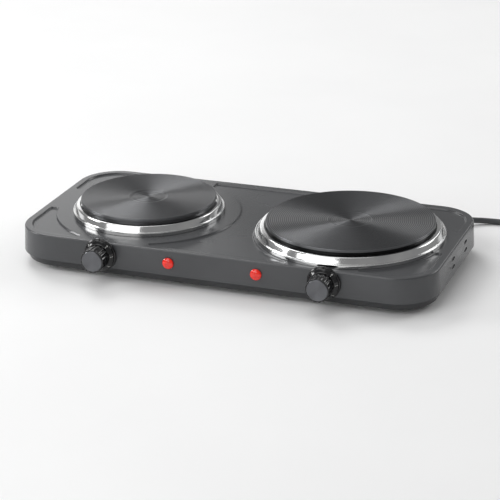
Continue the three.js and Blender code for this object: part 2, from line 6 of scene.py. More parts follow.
import logging
import math
from collections.abc import Callable, Iterator, Sequence
from contextlib import contextmanager
from dataclasses import dataclass, field
from enum import Enum

import bmesh
import bpy
from mathutils import Matrix, Vector


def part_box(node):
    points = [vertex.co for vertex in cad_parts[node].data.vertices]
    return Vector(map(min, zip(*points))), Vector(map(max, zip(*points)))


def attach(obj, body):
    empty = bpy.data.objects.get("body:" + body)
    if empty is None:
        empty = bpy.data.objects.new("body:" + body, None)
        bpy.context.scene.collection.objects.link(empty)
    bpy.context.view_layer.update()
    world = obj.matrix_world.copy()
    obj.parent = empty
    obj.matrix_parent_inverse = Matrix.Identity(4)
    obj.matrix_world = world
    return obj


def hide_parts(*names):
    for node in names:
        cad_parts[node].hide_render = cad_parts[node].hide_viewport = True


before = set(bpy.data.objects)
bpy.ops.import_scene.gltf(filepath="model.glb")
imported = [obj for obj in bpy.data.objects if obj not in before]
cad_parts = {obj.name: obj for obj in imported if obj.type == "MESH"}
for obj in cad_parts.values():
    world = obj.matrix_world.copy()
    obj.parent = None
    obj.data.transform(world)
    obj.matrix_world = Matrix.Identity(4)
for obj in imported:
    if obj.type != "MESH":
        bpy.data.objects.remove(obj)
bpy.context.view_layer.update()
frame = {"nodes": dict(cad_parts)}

LOG = logging.getLogger("hot_plate")
MM = 0.001
MERGE = 0.004 * MM          # vertices closer than this are one
FULL_TURN = 2 * math.pi
CORD_HOLE = 6.2 * MM        # the radius of the hole that the strain relief sits in
DRILL = 16 * MM             # the length of a tool that cuts a hole through a wall

Outline = list[tuple[float, float]]
Piece = bpy.types.Object
Tree = bpy.types.NodeTree
Socket = bpy.types.NodeSocket
FaceTest = Callable[[bmesh.types.BMFace], bool]
EdgeTest = Callable[[bmesh.types.BMEdge], bool]
VertTest = Callable[[bmesh.types.BMVert], bool]


class Side(Enum):
    """The two ends of the appliance, as seen from the front."""

    LEFT = "left"
    RIGHT = "right"


class Axis(Enum):
    """The line that a turned piece is turned about."""

    UP = (0.0, 0.0, 1.0)
    DEEP = (0.0, 1.0, 0.0)


class Body(Enum):
    """The moving bodies of the frame."""

    CHASSIS = "chassis"
    LEFT_CONTROL = "left_control"
    RIGHT_CONTROL = "right_control"


# ---- outlines -----------------------------------------------------------------------------------
def soften(points: Sequence[tuple[float, float]], radius: float, steps: int = 4) -> Outline:
    """Round the inner corners of an open outline.

    Args:
        points: the corners of the outline.
        radius: how far from each corner its curve starts, at most.
        steps: the number of short edges in each curve.

    Returns:
        The outline with a short curve in place of each inner corner.
    """
    corners = [Vector(point) for point in points]
    smooth = [corners[0]]
    for before, corner, after in zip(corners, corners[1:], corners[2:]):
        start, end = (corner + way * min(0.45, radius / max(way.length, MERGE))
                      for way in (before - corner, after - corner))
        for step in range(steps + 1):
            t = step / steps
            smooth.append(start * (1 - t) ** 2 + corner * (2 * t * (1 - t)) + end * t ** 2)
    smooth.append(corners[-1])
    return [(point.x, point.y) for point in smooth]


def placed(across: float, along: float, points: Sequence[tuple[float, float]]) -> Outline:
    """Place an outline that is drawn in millimetres at a point given in metres."""
    return [(across + x * MM, along + y * MM) for x, y in points]


# ---- bench --------------------------------------------------------------------------------------
class Bench:
    """Blender's own modelling tools, used on one mesh at a time."""

    @staticmethod
    def clear() -> None:
        """Leave nothing selected and nothing active."""
        bpy.ops.object.select_all(action="DESELECT")
        bpy.context.view_layer.objects.active = None

    @staticmethod
    def take(piece: Piece) -> None:
        """Make one piece the only selected and the active one."""
        Bench.clear()
        piece.select_set(True)
        bpy.context.view_layer.objects.active = piece

    @staticmethod
    @contextmanager
    def editing(piece: Piece, kind: str = "FACE") -> Iterator[None]:
        """Hold a piece in edit mode with nothing selected.

        Args:
            piece: the mesh to edit.
            kind: what is picked, VERT, EDGE or FACE.
        """
        Bench.take(piece)
        bpy.ops.object.mode_set(mode="EDIT")
        bpy.ops.mesh.select_mode(type=kind)
        bpy.ops.mesh.select_all(action="DESELECT")
        yield
        bpy.ops.object.mode_set(mode="OBJECT")

    @staticmethod
    def pick(kind: str, test: FaceTest | EdgeTest | VertTest) -> int:
        """Select the parts of the mesh in edit mode that pass a test, and no others.

        Args:
            kind: verts, edges or faces.
            test: says whether one of them is wanted.

        Returns:
            How many were selected.
        """
        bpy.ops.mesh.select_all(action="DESELECT")
        data = bpy.context.edit_object.data
        mesh = bmesh.from_edit_mesh(data)
        mesh.normal_update()
        wanted = [part for part in getattr(mesh, kind) if test(part)]
        for part in wanted:
            part.select_set(True)
        bmesh.update_edit_mesh(data, loop_triangles=False, destructive=False)
        return len(wanted)

    @staticmethod
    def settle(piece: Piece, name: str | None = None) -> Piece:
        """Move a piece's place into its mesh, and name the piece and its mesh."""
        Bench.take(piece)
        bpy.ops.object.transform_apply(location=True, rotation=True, scale=True)
        if name:
            piece.name = name
            piece.data.name = name
        return piece

    @staticmethod
    def block(name: str, size: Vector, centre: Vector) -> Piece:
        """Add a block of the given size."""
        Bench.clear()
        bpy.ops.mesh.primitive_cube_add(size=1, location=centre, scale=size)
        return Bench.settle(bpy.context.active_object, name)

    @staticmethod
    def rod(name: str, radius: float, length: float, centre: Vector, axis: Axis,
            segments: int = 48) -> Piece:
        """Add a round bar.

        Args:
            name: what the bar is called.
            radius: half its diameter.
            length: its length along the axis.
            centre: the middle of the bar.
            axis: the way that it points.
            segments: the number of its sides.

        Returns:
            The bar.
        """
        Bench.clear()
        tilt = math.pi / 2 if axis is Axis.DEEP else 0.0
        bpy.ops.mesh.primitive_cylinder_add(
            vertices=segments, radius=radius, depth=length, location=centre, rotation=(tilt, 0, 0))
        return Bench.settle(bpy.context.active_object, name)

    @staticmethod
    def draw(name: str, points: Sequence[Vector], closed: bool = False) -> Piece:
        """Draw a line of edges by drawing out one vertex.

        Args:
            name: what the drawn line is called.
            points: the places that the line goes through.
            closed: whether the last point is joined to the first.

        Returns:
            A mesh that holds only the line.
        """
        Bench.clear()
        bpy.ops.mesh.primitive_plane_add(size=MM)
        piece = bpy.context.active_object
        route = [Vector(point) for point in points]
        if closed:
            route.append(route[0])
        with Bench.editing(piece, "VERT"):
            bpy.ops.mesh.select_all(action="SELECT")
            bpy.ops.mesh.merge(type="CENTER")
            bpy.ops.transform.translate(value=route[0])
            for before, after in zip(route, route[1:]):
                bpy.ops.mesh.extrude_region_move(TRANSFORM_OT_translate={"value": after - before})
            bpy.ops.mesh.select_all(action="SELECT")
            bpy.ops.mesh.remove_doubles(threshold=MERGE)
        return Bench.settle(piece, name)

    @staticmethod
    def turn(name: str, outline: Outline, centre: Vector, axis: Axis, segments: int = 96,
             lead: Vector | None = None) -> Piece:
        """Turn an outline about a line, as on a lathe.

        Args:
            name: what the piece is called.
            outline: pairs of a radius and a place along the axis.
            centre: a point on the axis; its place along the axis isn't used.
            axis: the line's direction.
            segments: the number of steps round the piece.
            lead: a way that the face farthest that way has to look, on a shell that is open.

        Returns:
            The turned piece, with its poles merged and its faces looking out.
        """
        if axis is Axis.UP:
            route = [Vector((centre.x + radius, centre.y, along)) for radius, along in outline]
            middle = Vector((centre.x, centre.y, 0))
        else:
            route = [Vector((centre.x + radius, along, centre.z)) for radius, along in outline]
            middle = Vector((centre.x, 0, centre.z))
        piece = Bench.draw(name, route)
        with Bench.editing(piece, "VERT"):
            bpy.ops.mesh.select_all(action="SELECT")
            bpy.ops.mesh.spin(steps=segments, angle=FULL_TURN, center=middle, axis=axis.value)
        Bench.face_out(piece, lead)
        return piece

    @staticmethod
    def face_out(piece: Piece, lead: Vector | None = None) -> None:
        """Merge a mesh's doubles and turn its faces outwards.

        Args:
            piece: the mesh.
            lead: a way that the face farthest that way has to look, on a shell that is open.
        """
        with Bench.editing(piece, "VERT"):
            bpy.ops.mesh.select_all(action="SELECT")
            bpy.ops.mesh.remove_doubles(threshold=MERGE)
            bpy.ops.mesh.normals_make_consistent(inside=False)
            if lead is not None:
                mesh = bmesh.from_edit_mesh(piece.data)
                mesh.normal_update()
                first = max(mesh.faces, key=lambda face: face.calc_center_median().dot(lead))
                if first.normal.dot(lead) < 0:
                    bpy.ops.mesh.flip_normals()

    @staticmethod
    def apply(piece: Piece, kind: str, **settings: object) -> None:
        """Add a modifier with its settings, and apply it."""
        Bench.take(piece)
        modifier = piece.modifiers.new(kind.lower(), kind)
        for name, value in settings.items():
            setattr(modifier, name, value)
        bpy.ops.object.modifier_apply(modifier=modifier.name)

    @staticmethod
    def cut(piece: Piece, *tools: Piece) -> Piece:
        """Cut tools out of a piece and throw the tools away."""
        for tool in tools:
            Bench.apply(piece, "BOOLEAN", operation="DIFFERENCE", solver="EXACT", object=tool)
            bpy.data.objects.remove(tool)
        return piece

    @staticmethod
    def weld(piece: Piece, *others: Piece) -> Piece:
        """Make one solid of a piece and others that run into it."""
        for other in others:
            Bench.apply(piece, "BOOLEAN", operation="UNION", solver="EXACT", object=other)
            bpy.data.objects.remove(other)
        return piece

    @staticmethod
    def gather(name: str, *pieces: Piece) -> Piece:
        """Put several meshes in one object, without cutting them."""
        Bench.take(pieces[0])
        for piece in pieces:
            piece.select_set(True)
        bpy.ops.object.join()
        return Bench.settle(pieces[0], name)

    @staticmethod
    def copy(piece: Piece, name: str, move: Vector) -> Piece:
        """Copy a piece with a mesh of its own, and move the copy."""
        Bench.take(piece)
        bpy.ops.object.duplicate(linked=False)
        twin = bpy.context.active_object
        twin.location = move
        return Bench.settle(twin, name)

    @staticmethod
    def round_edges(piece: Piece, test: EdgeTest, radius: float, steps: int) -> None:
        """Bevel the edges that pass a test into a curve."""
        with Bench.editing(piece, "EDGE"):
            if Bench.pick("edges", test):
                bpy.ops.mesh.bevel(offset=radius, segments=steps, affect="EDGES")

    @staticmethod
    def smooth(piece: Piece, degrees: float = 40.0) -> None:
        """Shade a piece smooth, with edges sharper than an angle kept crisp."""
        Bench.take(piece)
        bpy.ops.object.shade_smooth_by_angle(angle=math.radians(degrees))


def upright(edge: bmesh.types.BMEdge) -> bool:
    """Whether an edge stands upright."""
    way = edge.verts[1].co - edge.verts[0].co
    return abs(way.z) > 0.9 * way.length


def middle_of(node: str) -> Vector:
    """The middle of a frame node's box."""
    low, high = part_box(node)
    return (low + high) / 2


def half_width(node: str) -> float:
    """Half of a frame node's length along X, which is the radius of a round one."""
    low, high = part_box(node)
    return (high.x - low.x) / 2


def declare(piece: Piece, slot: str, *nodes: str, body: Body = Body.CHASSIS) -> None:
    """Fix a piece to its body, in place of the frame nodes that it stands for."""
    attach(piece, body.value)
    if nodes:
        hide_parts(*nodes)


# ---- finishes -----------------------------------------------------------------------------------
def linear(code: str) -> tuple[float, float, float, float]:
    """Turn an sRGB hex colour into the linear one that Blender's sockets take."""
    parts = (int(code[start:start + 2], 16) / 255 for start in (1, 3, 5))
    red, green, blue = (p / 12.92 if p <= 0.04045 else ((p + 0.055) / 1.055) ** 2.4 for p in parts)
    return red, green, blue, 1.0


def add_node(tree: Tree, kind: str, settings: dict[str, object] | None = None,
             inputs: dict[str | int, object] | None = None) -> bpy.types.Node:
    """Add a node with its settings and its links.

    Args:
        tree: the tree that it goes into.
        kind: the node's type name.
        settings: properties of the node itself.
        inputs: a value, or a socket to link from, for each input by its name or number.

    Returns:
        The new node.
    """
    node = tree.nodes.new(kind)
    for name, value in (settings or {}).items():
        setattr(node, name, value)
    for key, value in (inputs or {}).items():
        socket = node.inputs[key]
        if isinstance(value, Socket):
            tree.links.new(value, socket)
        else:
            socket.default_value = value
    return node


MIX_A, MIX_B, MIX_RESULT = 6, 7, 2      # the colour sockets of a Mix node
NOISE_LOW, NOISE_HIGH = 0.32, 0.68      # where nearly all of a noise texture's values lie
# The rings' colour is painted light and shade: a highlight on each ridge, shade in each groove.
RIDGE_HIGHLIGHT_FLAT = 0.4                        # the height on a ring's wave where its flat ridge starts


@dataclass(frozen=True)
class Finish:
    """A finish whose surface is a fine random grain over a slow change of tone.

    Attributes:
        name: the real material and how its surface was made.
        dark, light: the ends of its range of colour, in sRGB.
        rough: the lowest and the highest roughness.
        grain: the size of one grain.
        relief: how high the grain stands.
        patch: the size of the slow changes in tone.
        metallic, ior, coat, coat_rough: the shader's own values.
    """

    name: str
    dark: str
    light: str
    rough: tuple[float, float] = (0.4, 0.5)
    grain: float = 1.0 * MM
    relief: float = 0.02 * MM
    patch: float = 30.0 * MM
    metallic: float = 0.0
    ior: float = 1.5
    coat: float = 0.0
    coat_rough: float = 0.1

    def height(self, tree: Tree, place: Socket) -> Socket:
        """The grain, as a height from 0 to 1."""
        return add_node(tree, "ShaderNodeTexNoise", inputs={
            "Vector": place, "Scale": 1 / self.grain, "Detail": 2.0}).outputs["Fac"]

    def tone(self, tree: Tree, place: Socket) -> Socket:
        """The slow change in tone, from 0 to 1."""
        cloud = add_node(tree, "ShaderNodeTexNoise", inputs={
            "Vector": place, "Scale": 1 / self.patch, "Detail": 4.0})
        return add_node(tree, "ShaderNodeMapRange", inputs={
            "Value": cloud.outputs["Fac"], "From Min": NOISE_LOW, "From Max": NOISE_HIGH,
        }).outputs["Result"]

    def extras(self, tree: Tree, place: Socket) -> dict[str | int, object]:
        """Shader values that only some finishes need."""
        return {}

    def make(self) -> bpy.types.Material:
        """Build the material, once for each finish."""
        if self.name in bpy.data.materials:
            return bpy.data.materials[self.name]
        material = bpy.data.materials.new(self.name)
        material.use_nodes = True
        tree = material.node_tree
        tree.nodes.clear()
        place = add_node(tree, "ShaderNodeTexCoord").outputs["Object"]
        tone = self.tone(tree, place)
        colour = add_node(tree, "ShaderNodeMix", {"data_type": "RGBA"}, {
            0: tone, MIX_A: linear(self.dark), MIX_B: linear(self.light)})
        rough = add_node(tree, "ShaderNodeMapRange", inputs={
            "Value": tone, "To Min": self.rough[0], "To Max": self.rough[1]})
        bump = add_node(tree, "ShaderNodeBump", inputs={
            "Height": self.height(tree, place), "Distance": self.relief, "Strength": 1.0})
        shader = add_node(tree, "ShaderNodeBsdfPrincipled", inputs={
            "Base Color": colour.outputs[MIX_RESULT], "Roughness": rough.outputs["Result"],
            "Normal": bump.outputs["Normal"], "Metallic": self.metallic, "IOR": self.ior,
            "Coat Weight": self.coat, "Coat Roughness": self.coat_rough,
            **self.extras(tree, place)})
        add_node(tree, "ShaderNodeOutputMaterial", inputs={"Surface": shader.outputs["BSDF"]})
        material.diffuse_color = linear(self.light)
        return material

    def dress(self, *pieces: Piece) -> None:
        """Give the finish to pieces, in place of what they had."""
        for piece in pieces:
            if not piece.material_slots:
                piece.data.materials.append(self.make())
            for slot in piece.material_slots:
                slot.material = self.make()


@dataclass(frozen=True)
class TurnedFinish(Finish):
    """A finish with fine rings left by a lathe tool, and a painted highlight and painted shade
    along them.

    Attributes:
        centre: a point on the axis that the rings run round.
        flat: which coordinates measure the distance from the axis.
        pitch: the distance from one ring to the next.
        spread: how much wider the gloss spreads across the rings than along them, from 0 to 1.
        line_start, line_pitch: the radius of the first ridge with a painted highlight, and the step
            to the next.
    """

    centre: tuple[float, float, float] = (0.0, 0.0, 0.0)
    flat: tuple[float, float, float] = (1.0, 1.0, 0.0)
    pitch: float = 0.6 * MM
    spread: float = 0.9
    line_start: float = 0.0
    line_pitch: float = 1.2 * MM

    def level(self, tree: Tree, place: Socket) -> Socket:
        """The step from the axis straight out to a place."""
        away = add_node(tree, "ShaderNodeVectorMath", {"operation": "SUBTRACT"}, {
            0: place, 1: self.centre})
        return add_node(tree, "ShaderNodeVectorMath", {"operation": "MULTIPLY"}, {
            0: away.outputs["Vector"], 1: self.flat}).outputs["Vector"]

    def radius(self, tree: Tree, place: Socket) -> Socket:
        """The distance from the axis."""
        return add_node(tree, "ShaderNodeVectorMath", {"operation": "LENGTH"}, {
            0: self.level(tree, place)}).outputs["Value"]

    def extras(self, tree: Tree, place: Socket) -> dict[str | int, object]:
        """Gloss that spreads away from the axis, because each ring is a tiny ridge."""
        turned = add_node(tree, "ShaderNodeVectorTransform", {
            "vector_type": "VECTOR", "convert_from": "OBJECT", "convert_to": "WORLD"}, {
            "Vector": self.level(tree, place)})
        return {"Anisotropic": self.spread, "Tangent": turned.outputs["Vector"]}

    def tone(self, tree: Tree, place: Socket) -> Socket:
        """Painted highlight on the ridges, painted shade in the grooves between them."""
        turns = add_node(tree, "ShaderNodeMapRange", {"clamp": False}, {
            "Value": self.radius(tree, place), "From Min": self.line_start,
            "From Max": self.line_start + self.line_pitch, "To Max": FULL_TURN})
        wave = add_node(tree, "ShaderNodeMath", {"operation": "COSINE"}, {
            0: turns.outputs["Result"]})
        return add_node(tree, "ShaderNodeMapRange", inputs={
            "Value": wave.outputs["Value"], "From Min": -1.0, "From Max": RIDGE_HIGHLIGHT_FLAT,
        }).outputs["Result"]

    def height(self, tree: Tree, place: Socket) -> Socket:
        """Rings of uneven height."""
        return add_node(tree, "ShaderNodeTexNoise", {"noise_dimensions": "1D"}, {
            "W": self.radius(tree, place), "Scale": 1 / self.pitch, "Detail": 1.0}).outputs["Fac"]


@dataclass(frozen=True)
class SpangledFinish(Finish):
    """Hot-dipped zinc, whose crystals show as flat patches of different grey."""

    def tone(self, tree: Tree, place: Socket) -> Socket:
        """One grey for each crystal."""
        cells = add_node(tree, "ShaderNodeTexVoronoi", inputs={
            "Vector": place, "Scale": 1 / self.patch})
        return add_node(tree, "ShaderNodeSeparateColor", inputs={
            "Color": cells.outputs["Color"]}).outputs["Red"]


@dataclass(frozen=True)
class LampFinish(Finish):
    """Clear tinted plastic that lets some light through, with a faint painted glow from its
    emission.
    """

    glow: float = 0.25
    through: float = 0.25

    def extras(self, tree: Tree, place: Socket) -> dict[str | int, object]:
        """Light let through, and a faint painted glow, as if the tube behind were lit."""
        return {"Transmission Weight": self.through, "Emission Color": linear(self.light),
                "Emission Strength": self.glow}


# Stoved enamel on pressed steel: even dark grey with a soft sheen and a trace of orange peel.
HOUSING_ENAMEL = Finish("stoved_enamel", "#3f4042", "#48494b", (0.20, 0.26), 1.6 * MM, 0.004 * MM,
                        120 * MM, 0.0, 1.5)
# The same enamel sprayed thin on the base: flatter and a little darker.
TRAY_ENAMEL = Finish("sprayed_enamel", "#2b2c2e", "#343537", (0.3, 0.38), 0.8 * MM, 0.006 * MM,
                     60 * MM)
# Deep-drawn 18/8 stainless steel, polished: mirror-like, with faint drawing marks.
STAINLESS = Finish("polished_stainless_steel", "#c9cacb", "#dcdcdb", (0.09, 0.14), 0.7 * MM,
                   0.0012 * MM, 25 * MM, 1.0)
# Glossy moulded phenolic of the knobs, with a trace of flow texture.
KNOB_PLASTIC = Finish("glossy_moulded_phenolic", "#08080a", "#0e0e10", (0.1, 0.16), 0.9 * MM,
                      0.003 * MM, 8 * MM, 0.0, 1.55)
# White pad print on the knobs.
SCALE_INK = Finish("pad_printed_ink", "#d5d6d3", "#ecece8", (0.45, 0.55), 0.2 * MM, 0.002 * MM,
                   3 * MM)
# Moulded polycarbonate lens over a neon tube, with a faint painted glow.
LENS_RED = LampFinish("moulded_red_polycarbonate", "#a01208", "#d8200f", (0.05, 0.1), 1.0 * MM,
                      0.004 * MM, 4 * MM, 0.0, 1.58, coat=0.3, glow=0.4, through=0.02)
# Moulded nitrile rubber: matt, slightly mottled.
RUBBER = Finish("moulded_rubber", "#171717", "#222222", (0.72, 0.85), 0.35 * MM, 0.012 * MM,
                6 * MM)
# Nickel plate on steel fasteners.
NICKEL = Finish("nickel_plated_steel", "#a9a89f", "#c3c2bb", (0.2, 0.32), 0.4 * MM, 0.003 * MM,
                3 * MM, 1.0)
# Sheet with hot-dip zinc.
ZINC = SpangledFinish("hot_dip_zinc", "#868b8f", "#a5abae", (0.35, 0.5), 0.5 * MM, 0.004 * MM,
                      7 * MM, 1.0)
# Drawn brass.
BRASS = Finish("drawn_brass", "#a5833e", "#bf9a52", (0.25, 0.38), 0.3 * MM, 0.003 * MM, 4 * MM, 1.0)
# Compression-moulded phenolic of the regulators: brown-black with pale filler specks.
BAKELITE = Finish("compression_moulded_phenolic", "#1a1715", "#2b2622", (0.35, 0.5), 0.3 * MM,
                  0.01 * MM, 1.5 * MM)
# Fired steatite: warm white, faintly pitted.
STEATITE = Finish("fired_steatite", "#d8d2c4", "#ece7dc", (0.3, 0.42), 0.4 * MM, 0.01 * MM, 5 * MM)
# Pressed magnesia that holds the heating wire.
MAGNESIA = Finish("pressed_magnesia", "#6f675a", "#8d8475", (0.85, 0.95), 0.5 * MM, 0.05 * MM,
                  5 * MM)
# Neon tube in clear glass, with a painted glow.
NEON_GLASS = LampFinish("drawn_glass", "#e2a08a", "#f4c0a8", (0.05, 0.08), 2 * MM, 0.001 * MM,
                        3 * MM, 0.0, 1.5, glow=0.6, through=0.6)
# Silicone wire insulation.
SILICONE = Finish("extruded_silicone", "#6b2419", "#8a3122", (0.5, 0.6), 0.6 * MM, 0.01 * MM,
                  9 * MM)
# Matt paper of the studio floor.
WHITE_PAPER = Finish("matt_white_paper", "#f1f1f1", "#f4f4f4", (0.85, 0.9), 2 * MM, 0.001 * MM,
                     300 * MM)
# Extruded PVC sheath: dark grey, satin, with slow changes along its length.
CORD_PVC = Finish("extruded_pvc", "#3b3c3e", "#4a4b4d", (0.38, 0.5), 0.5 * MM, 0.006 * MM,
                  20 * MM)


# ---- studio -------------------------------------------------------------------------------------
@dataclass
class Studio:
    """Camera, floor and soft lights. None of it belongs to the appliance."""

    target: Vector = field(default_factory=lambda: Vector((0.0325, -0.0724, 0.0432)))
    azimuth: float = 20.62
    elevation: float = 21.49
    roll: float = -0.82
    distance: float = 2.005
    lens: float = 135.4
    floor_size: float = 14.0
    surround: float = 0.3
    sensor: float = 36.0
    view_end: float = 50.0

    def camera(self) -> None:
        """Add the camera and make it the scene's own."""
        turn = (Matrix.Rotation(math.radians(self.azimuth), 4, "Z")
                @ Matrix.Rotation(math.radians(90 - self.elevation), 4, "X")
                @ Matrix.Rotation(math.radians(self.roll), 4, "Z"))
        back = turn.to_3x3() @ Vector((0, 0, 1))
        data = bpy.data.cameras.new("camera")
        data.lens = self.lens
        data.sensor_width = self.sensor
        data.clip_end = self.view_end
        camera = bpy.data.objects.new("camera", data)
        bpy.context.scene.collection.objects.link(camera)
        camera.matrix_world = Matrix.Translation(self.target + back * self.distance) @ turn
        bpy.context.scene.camera = camera

    def softbox(self, name: str, place: Vector, width: float, height: float,
                brightness: float) -> None:
        """Hang a soft light that looks at the appliance.

        Args:
            name: what the light is called.
            place: the middle of the light.
            width: its size from side to side.
            height: its size up and down.
            brightness: how bright its face looks, where 1 is white paper in the picture.
        """
        data = bpy.data.lights.new(name, "AREA")
        data.shape = "RECTANGLE"
        data.size, data.size_y = width, height
        data.energy = brightness * math.pi * width * height
        light = bpy.data.objects.new(name, data)
        light.matrix_world = (Matrix.Translation(place)
                              @ (self.target - place).to_track_quat("-Z", "Y").to_matrix().to_4x4())
        bpy.context.scene.collection.objects.link(light)

    def floor(self) -> None:
        """Lay a plain pale floor."""
        Bench.clear()
        bpy.ops.mesh.primitive_plane_add(size=self.floor_size)
        floor = Bench.settle(bpy.context.active_object, "floor")
        WHITE_PAPER.dress(floor)

    def surroundings(self) -> None:
        """Fill the room with an even white light."""
        world = bpy.data.worlds.new("white_room")
        bpy.context.scene.world = world
        world.use_nodes = True
        sky = world.node_tree.nodes["Background"]
        sky.inputs["Color"].default_value = (1, 1, 1, 1)
        sky.inputs["Strength"].default_value = self.surround

    def build(self) -> None:
        """Set up the whole studio."""
        bpy.context.scene.view_settings.view_transform = "Standard"
        self.camera()
        self.floor()
        self.surroundings()
        for name, place, width, height, brightness in (
                ("overhead_light", (-0.3, 0.1, 2.2), 1.5, 1.2, 1.3),
                ("high_front_light", (-0.6, -1.5, 1.75), 1.5, 0.9, 2.4),
                ("front_light", (-0.8, -2.05, 0.85), 2.2, 0.7, 2.6),
                ("back_light", (-1.9, 2.45, 0.75), 1.7, 1.1, 1.15),
                ("high_back_light", (0.3, 2.3, 1.3), 0.7, 0.6, 2.2),
                ("key_light", (-1.3, 1.3, 1.9), 1.0, 1.0, 5.8),
                ("right_light", (1.7, 1.7, 1.4), 1.0, 1.0, 4.0),
                ("left_light", (-2.07, -0.5, 0.87), 0.9, 0.5, 12.0)):
            self.softbox(name, Vector(place), width, height, brightness)
        LOG.info("studio ready")


# ---- mains lead ---------------------------------------------------------------------------------
@dataclass
class MainsLead:
    """Strain relief, cord, coil tie and plug.

    The cord leaves the back wall, comes down to the table, and is put away in a small coil.
    """

    diameter: float = 6.6 * MM
    outer_turn: float = 43.0 * MM
    pitch: float = 6.75 * MM
    low_level: float = 3.4 * MM
    high_level: float = 10.3 * MM
    low_turns: float = 2.0
    climb_turns: float = 0.35
    entry_angle: float = 100.0
    points_per_turn: int = 16
    tie_angle: float = 215.0
    tie_lift: float = 0.9 * MM
    tie_reach: float = 30.0
    tie_width: float = 7.0 * MM
    tie_sheet: float = 0.8 * MM
    leave_turn: float = 38.3 * MM
    relief_ribs: int = 7
    sleeve_ribs: int = 5

    def __post_init__(self) -> None:
        """Read the places that the frame gives."""
        relief = middle_of("strain_relief")
        self.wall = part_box("cord_run")[0].y
        self.exit = Vector((relief.x, self.wall, relief.z))
        self.coil_centre = middle_of("cord_coil")

    def run(self) -> list[Vector]:
        """The route from the wall to the coil, as behind the real appliance."""
        points = [
            (181.5, 126.5, 13.4), (181.5, 138.8, 13.4), (181.5, 151.3, 13.4), (181.7, 155.8, 13.3),
            (182.9, 161.3, 12.8), (185.3, 166.8, 12.0), (189.0, 171.8, 10.8), (193.8, 176.1, 9.4),
            (199.5, 179.8, 8.1), (206.0, 183.5, 6.9), (214.0, 188.1, 5.6), (222.0, 192.4, 4.6),
            (230.0, 195.2, 3.9), (238.0, 196.6, 3.5), (247.0, 197.0, 3.4), (258.0, 197.2, 3.4),
            (276.0, 197.3, 3.4), (295.0, 197.2, 3.4), (311.0, 198.0, 3.4), (324.0, 200.2, 3.4),
        ]
        return [Vector(point) * MM for point in points]

    def coil(self) -> list[Vector]:
        """The turns of the coil: two on the table going inwards, then one back out on top."""
        points = []
        inner_turn = self.outer_turn - self.low_turns * self.pitch
        top_turns = (self.entry_angle - self.climb_turns * 360) / 360 + 1
        total = self.low_turns + self.climb_turns + top_turns
        count = round(total * self.points_per_turn)
        for step in range(count + 1):
            turns = total * step / count
            climbed = min(max((turns - self.low_turns) / self.climb_turns, 0), 1)
            outward = max((turns - self.low_turns - self.climb_turns) / top_turns, 0)
            radius = max(self.outer_turn - self.pitch * turns, inner_turn)
            radius += (self.leave_turn - inner_turn) * outward
            ease = climbed * climbed * (3 - 2 * climbed)
            angle = self.entry_angle - turns * 360
            off_tie = (angle - self.tie_angle + 180) % 360 - 180
            under_tie = max(0.0, math.cos(math.pi / 2 * min(abs(off_tie) / self.tie_reach, 1)))
            level = (self.low_level + (self.high_level - self.low_level) * ease
                     + under_tie * self.tie_lift * 0.9)
            points.append(Vector((
                self.coil_centre.x + radius * math.cos(math.radians(angle)),
                self.coil_centre.y + radius * math.sin(math.radians(angle)), level)))
        return points

    def tail(self) -> list[Vector]:
        """The route from the coil into the plug's sleeve."""
        points = [
            (383.8, 144.0, 10.2), (383.8, 127.4, 10.3), (384.2, 119.8, 10.6), (384.5, 109.8, 12.0),
            (384.5, 99.8, 14.6), (384.5, 89.8, 17.2), (384.5, 82.8, 18.6), (384.5, 78.1, 19.0),
        ]
        return [Vector(point) * MM for point in points]

    def cord(self) -> Piece:
        """Draw the cord as one smooth round curve."""
        route = [*self.run(), *self.coil(), *self.tail()]
        curve = bpy.data.curves.new("mains_cord", "CURVE")
        curve.dimensions = "3D"
        curve.bevel_depth = self.diameter / 2
        curve.bevel_resolution = 5
        curve.resolution_u = 5
        curve.use_fill_caps = True
        spline = curve.splines.new("BEZIER")
        spline.bezier_points.add(len(route) - 1)
        for point, place in zip(spline.bezier_points, route):
            point.co = place
            point.handle_left_type = point.handle_right_type = "AUTO"
        cord = bpy.data.objects.new("mains_cord", curve)
        bpy.context.scene.collection.objects.link(cord)
        CORD_PVC.dress(cord)
        return cord

    def relief(self) -> Piece:
        """Turn the tapered strain relief, with soft ribs along its sleeve."""
        low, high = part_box("strain_relief")
        wall, tip = self.wall, high.y
        bore = self.diameter / 2 + 0.15 * MM
        outline = [(bore, low.y), (5.8 * MM, low.y), *placed(0.0, wall, (
            (5.8, 0), (7.6, 0), (7.6, 2.2), (5.9, 2.9)))]
        step = (tip - wall - 4.0 * MM) / self.relief_ribs
        for rib in range(self.relief_ribs):
            start = wall + 3.2 * MM + rib * step
            crest = (5.7 - 1.3 * rib / self.relief_ribs) * MM
            groove = crest - 0.55 * MM
            outline += [(crest, start), (crest, start + step * 0.6),
                        (groove, start + step * 0.7), (groove, start + step * 0.92)]
        outline += [(4.3 * MM, tip - 0.8 * MM), (4.3 * MM, tip), (bore, tip), (bore, low.y)]
        piece = Bench.turn("cord_strain_relief", soften(outline, 0.25 * MM, 2), self.exit,
                           Axis.DEEP, 48)
        Bench.smooth(piece)
        RUBBER.dress(piece)
        return piece

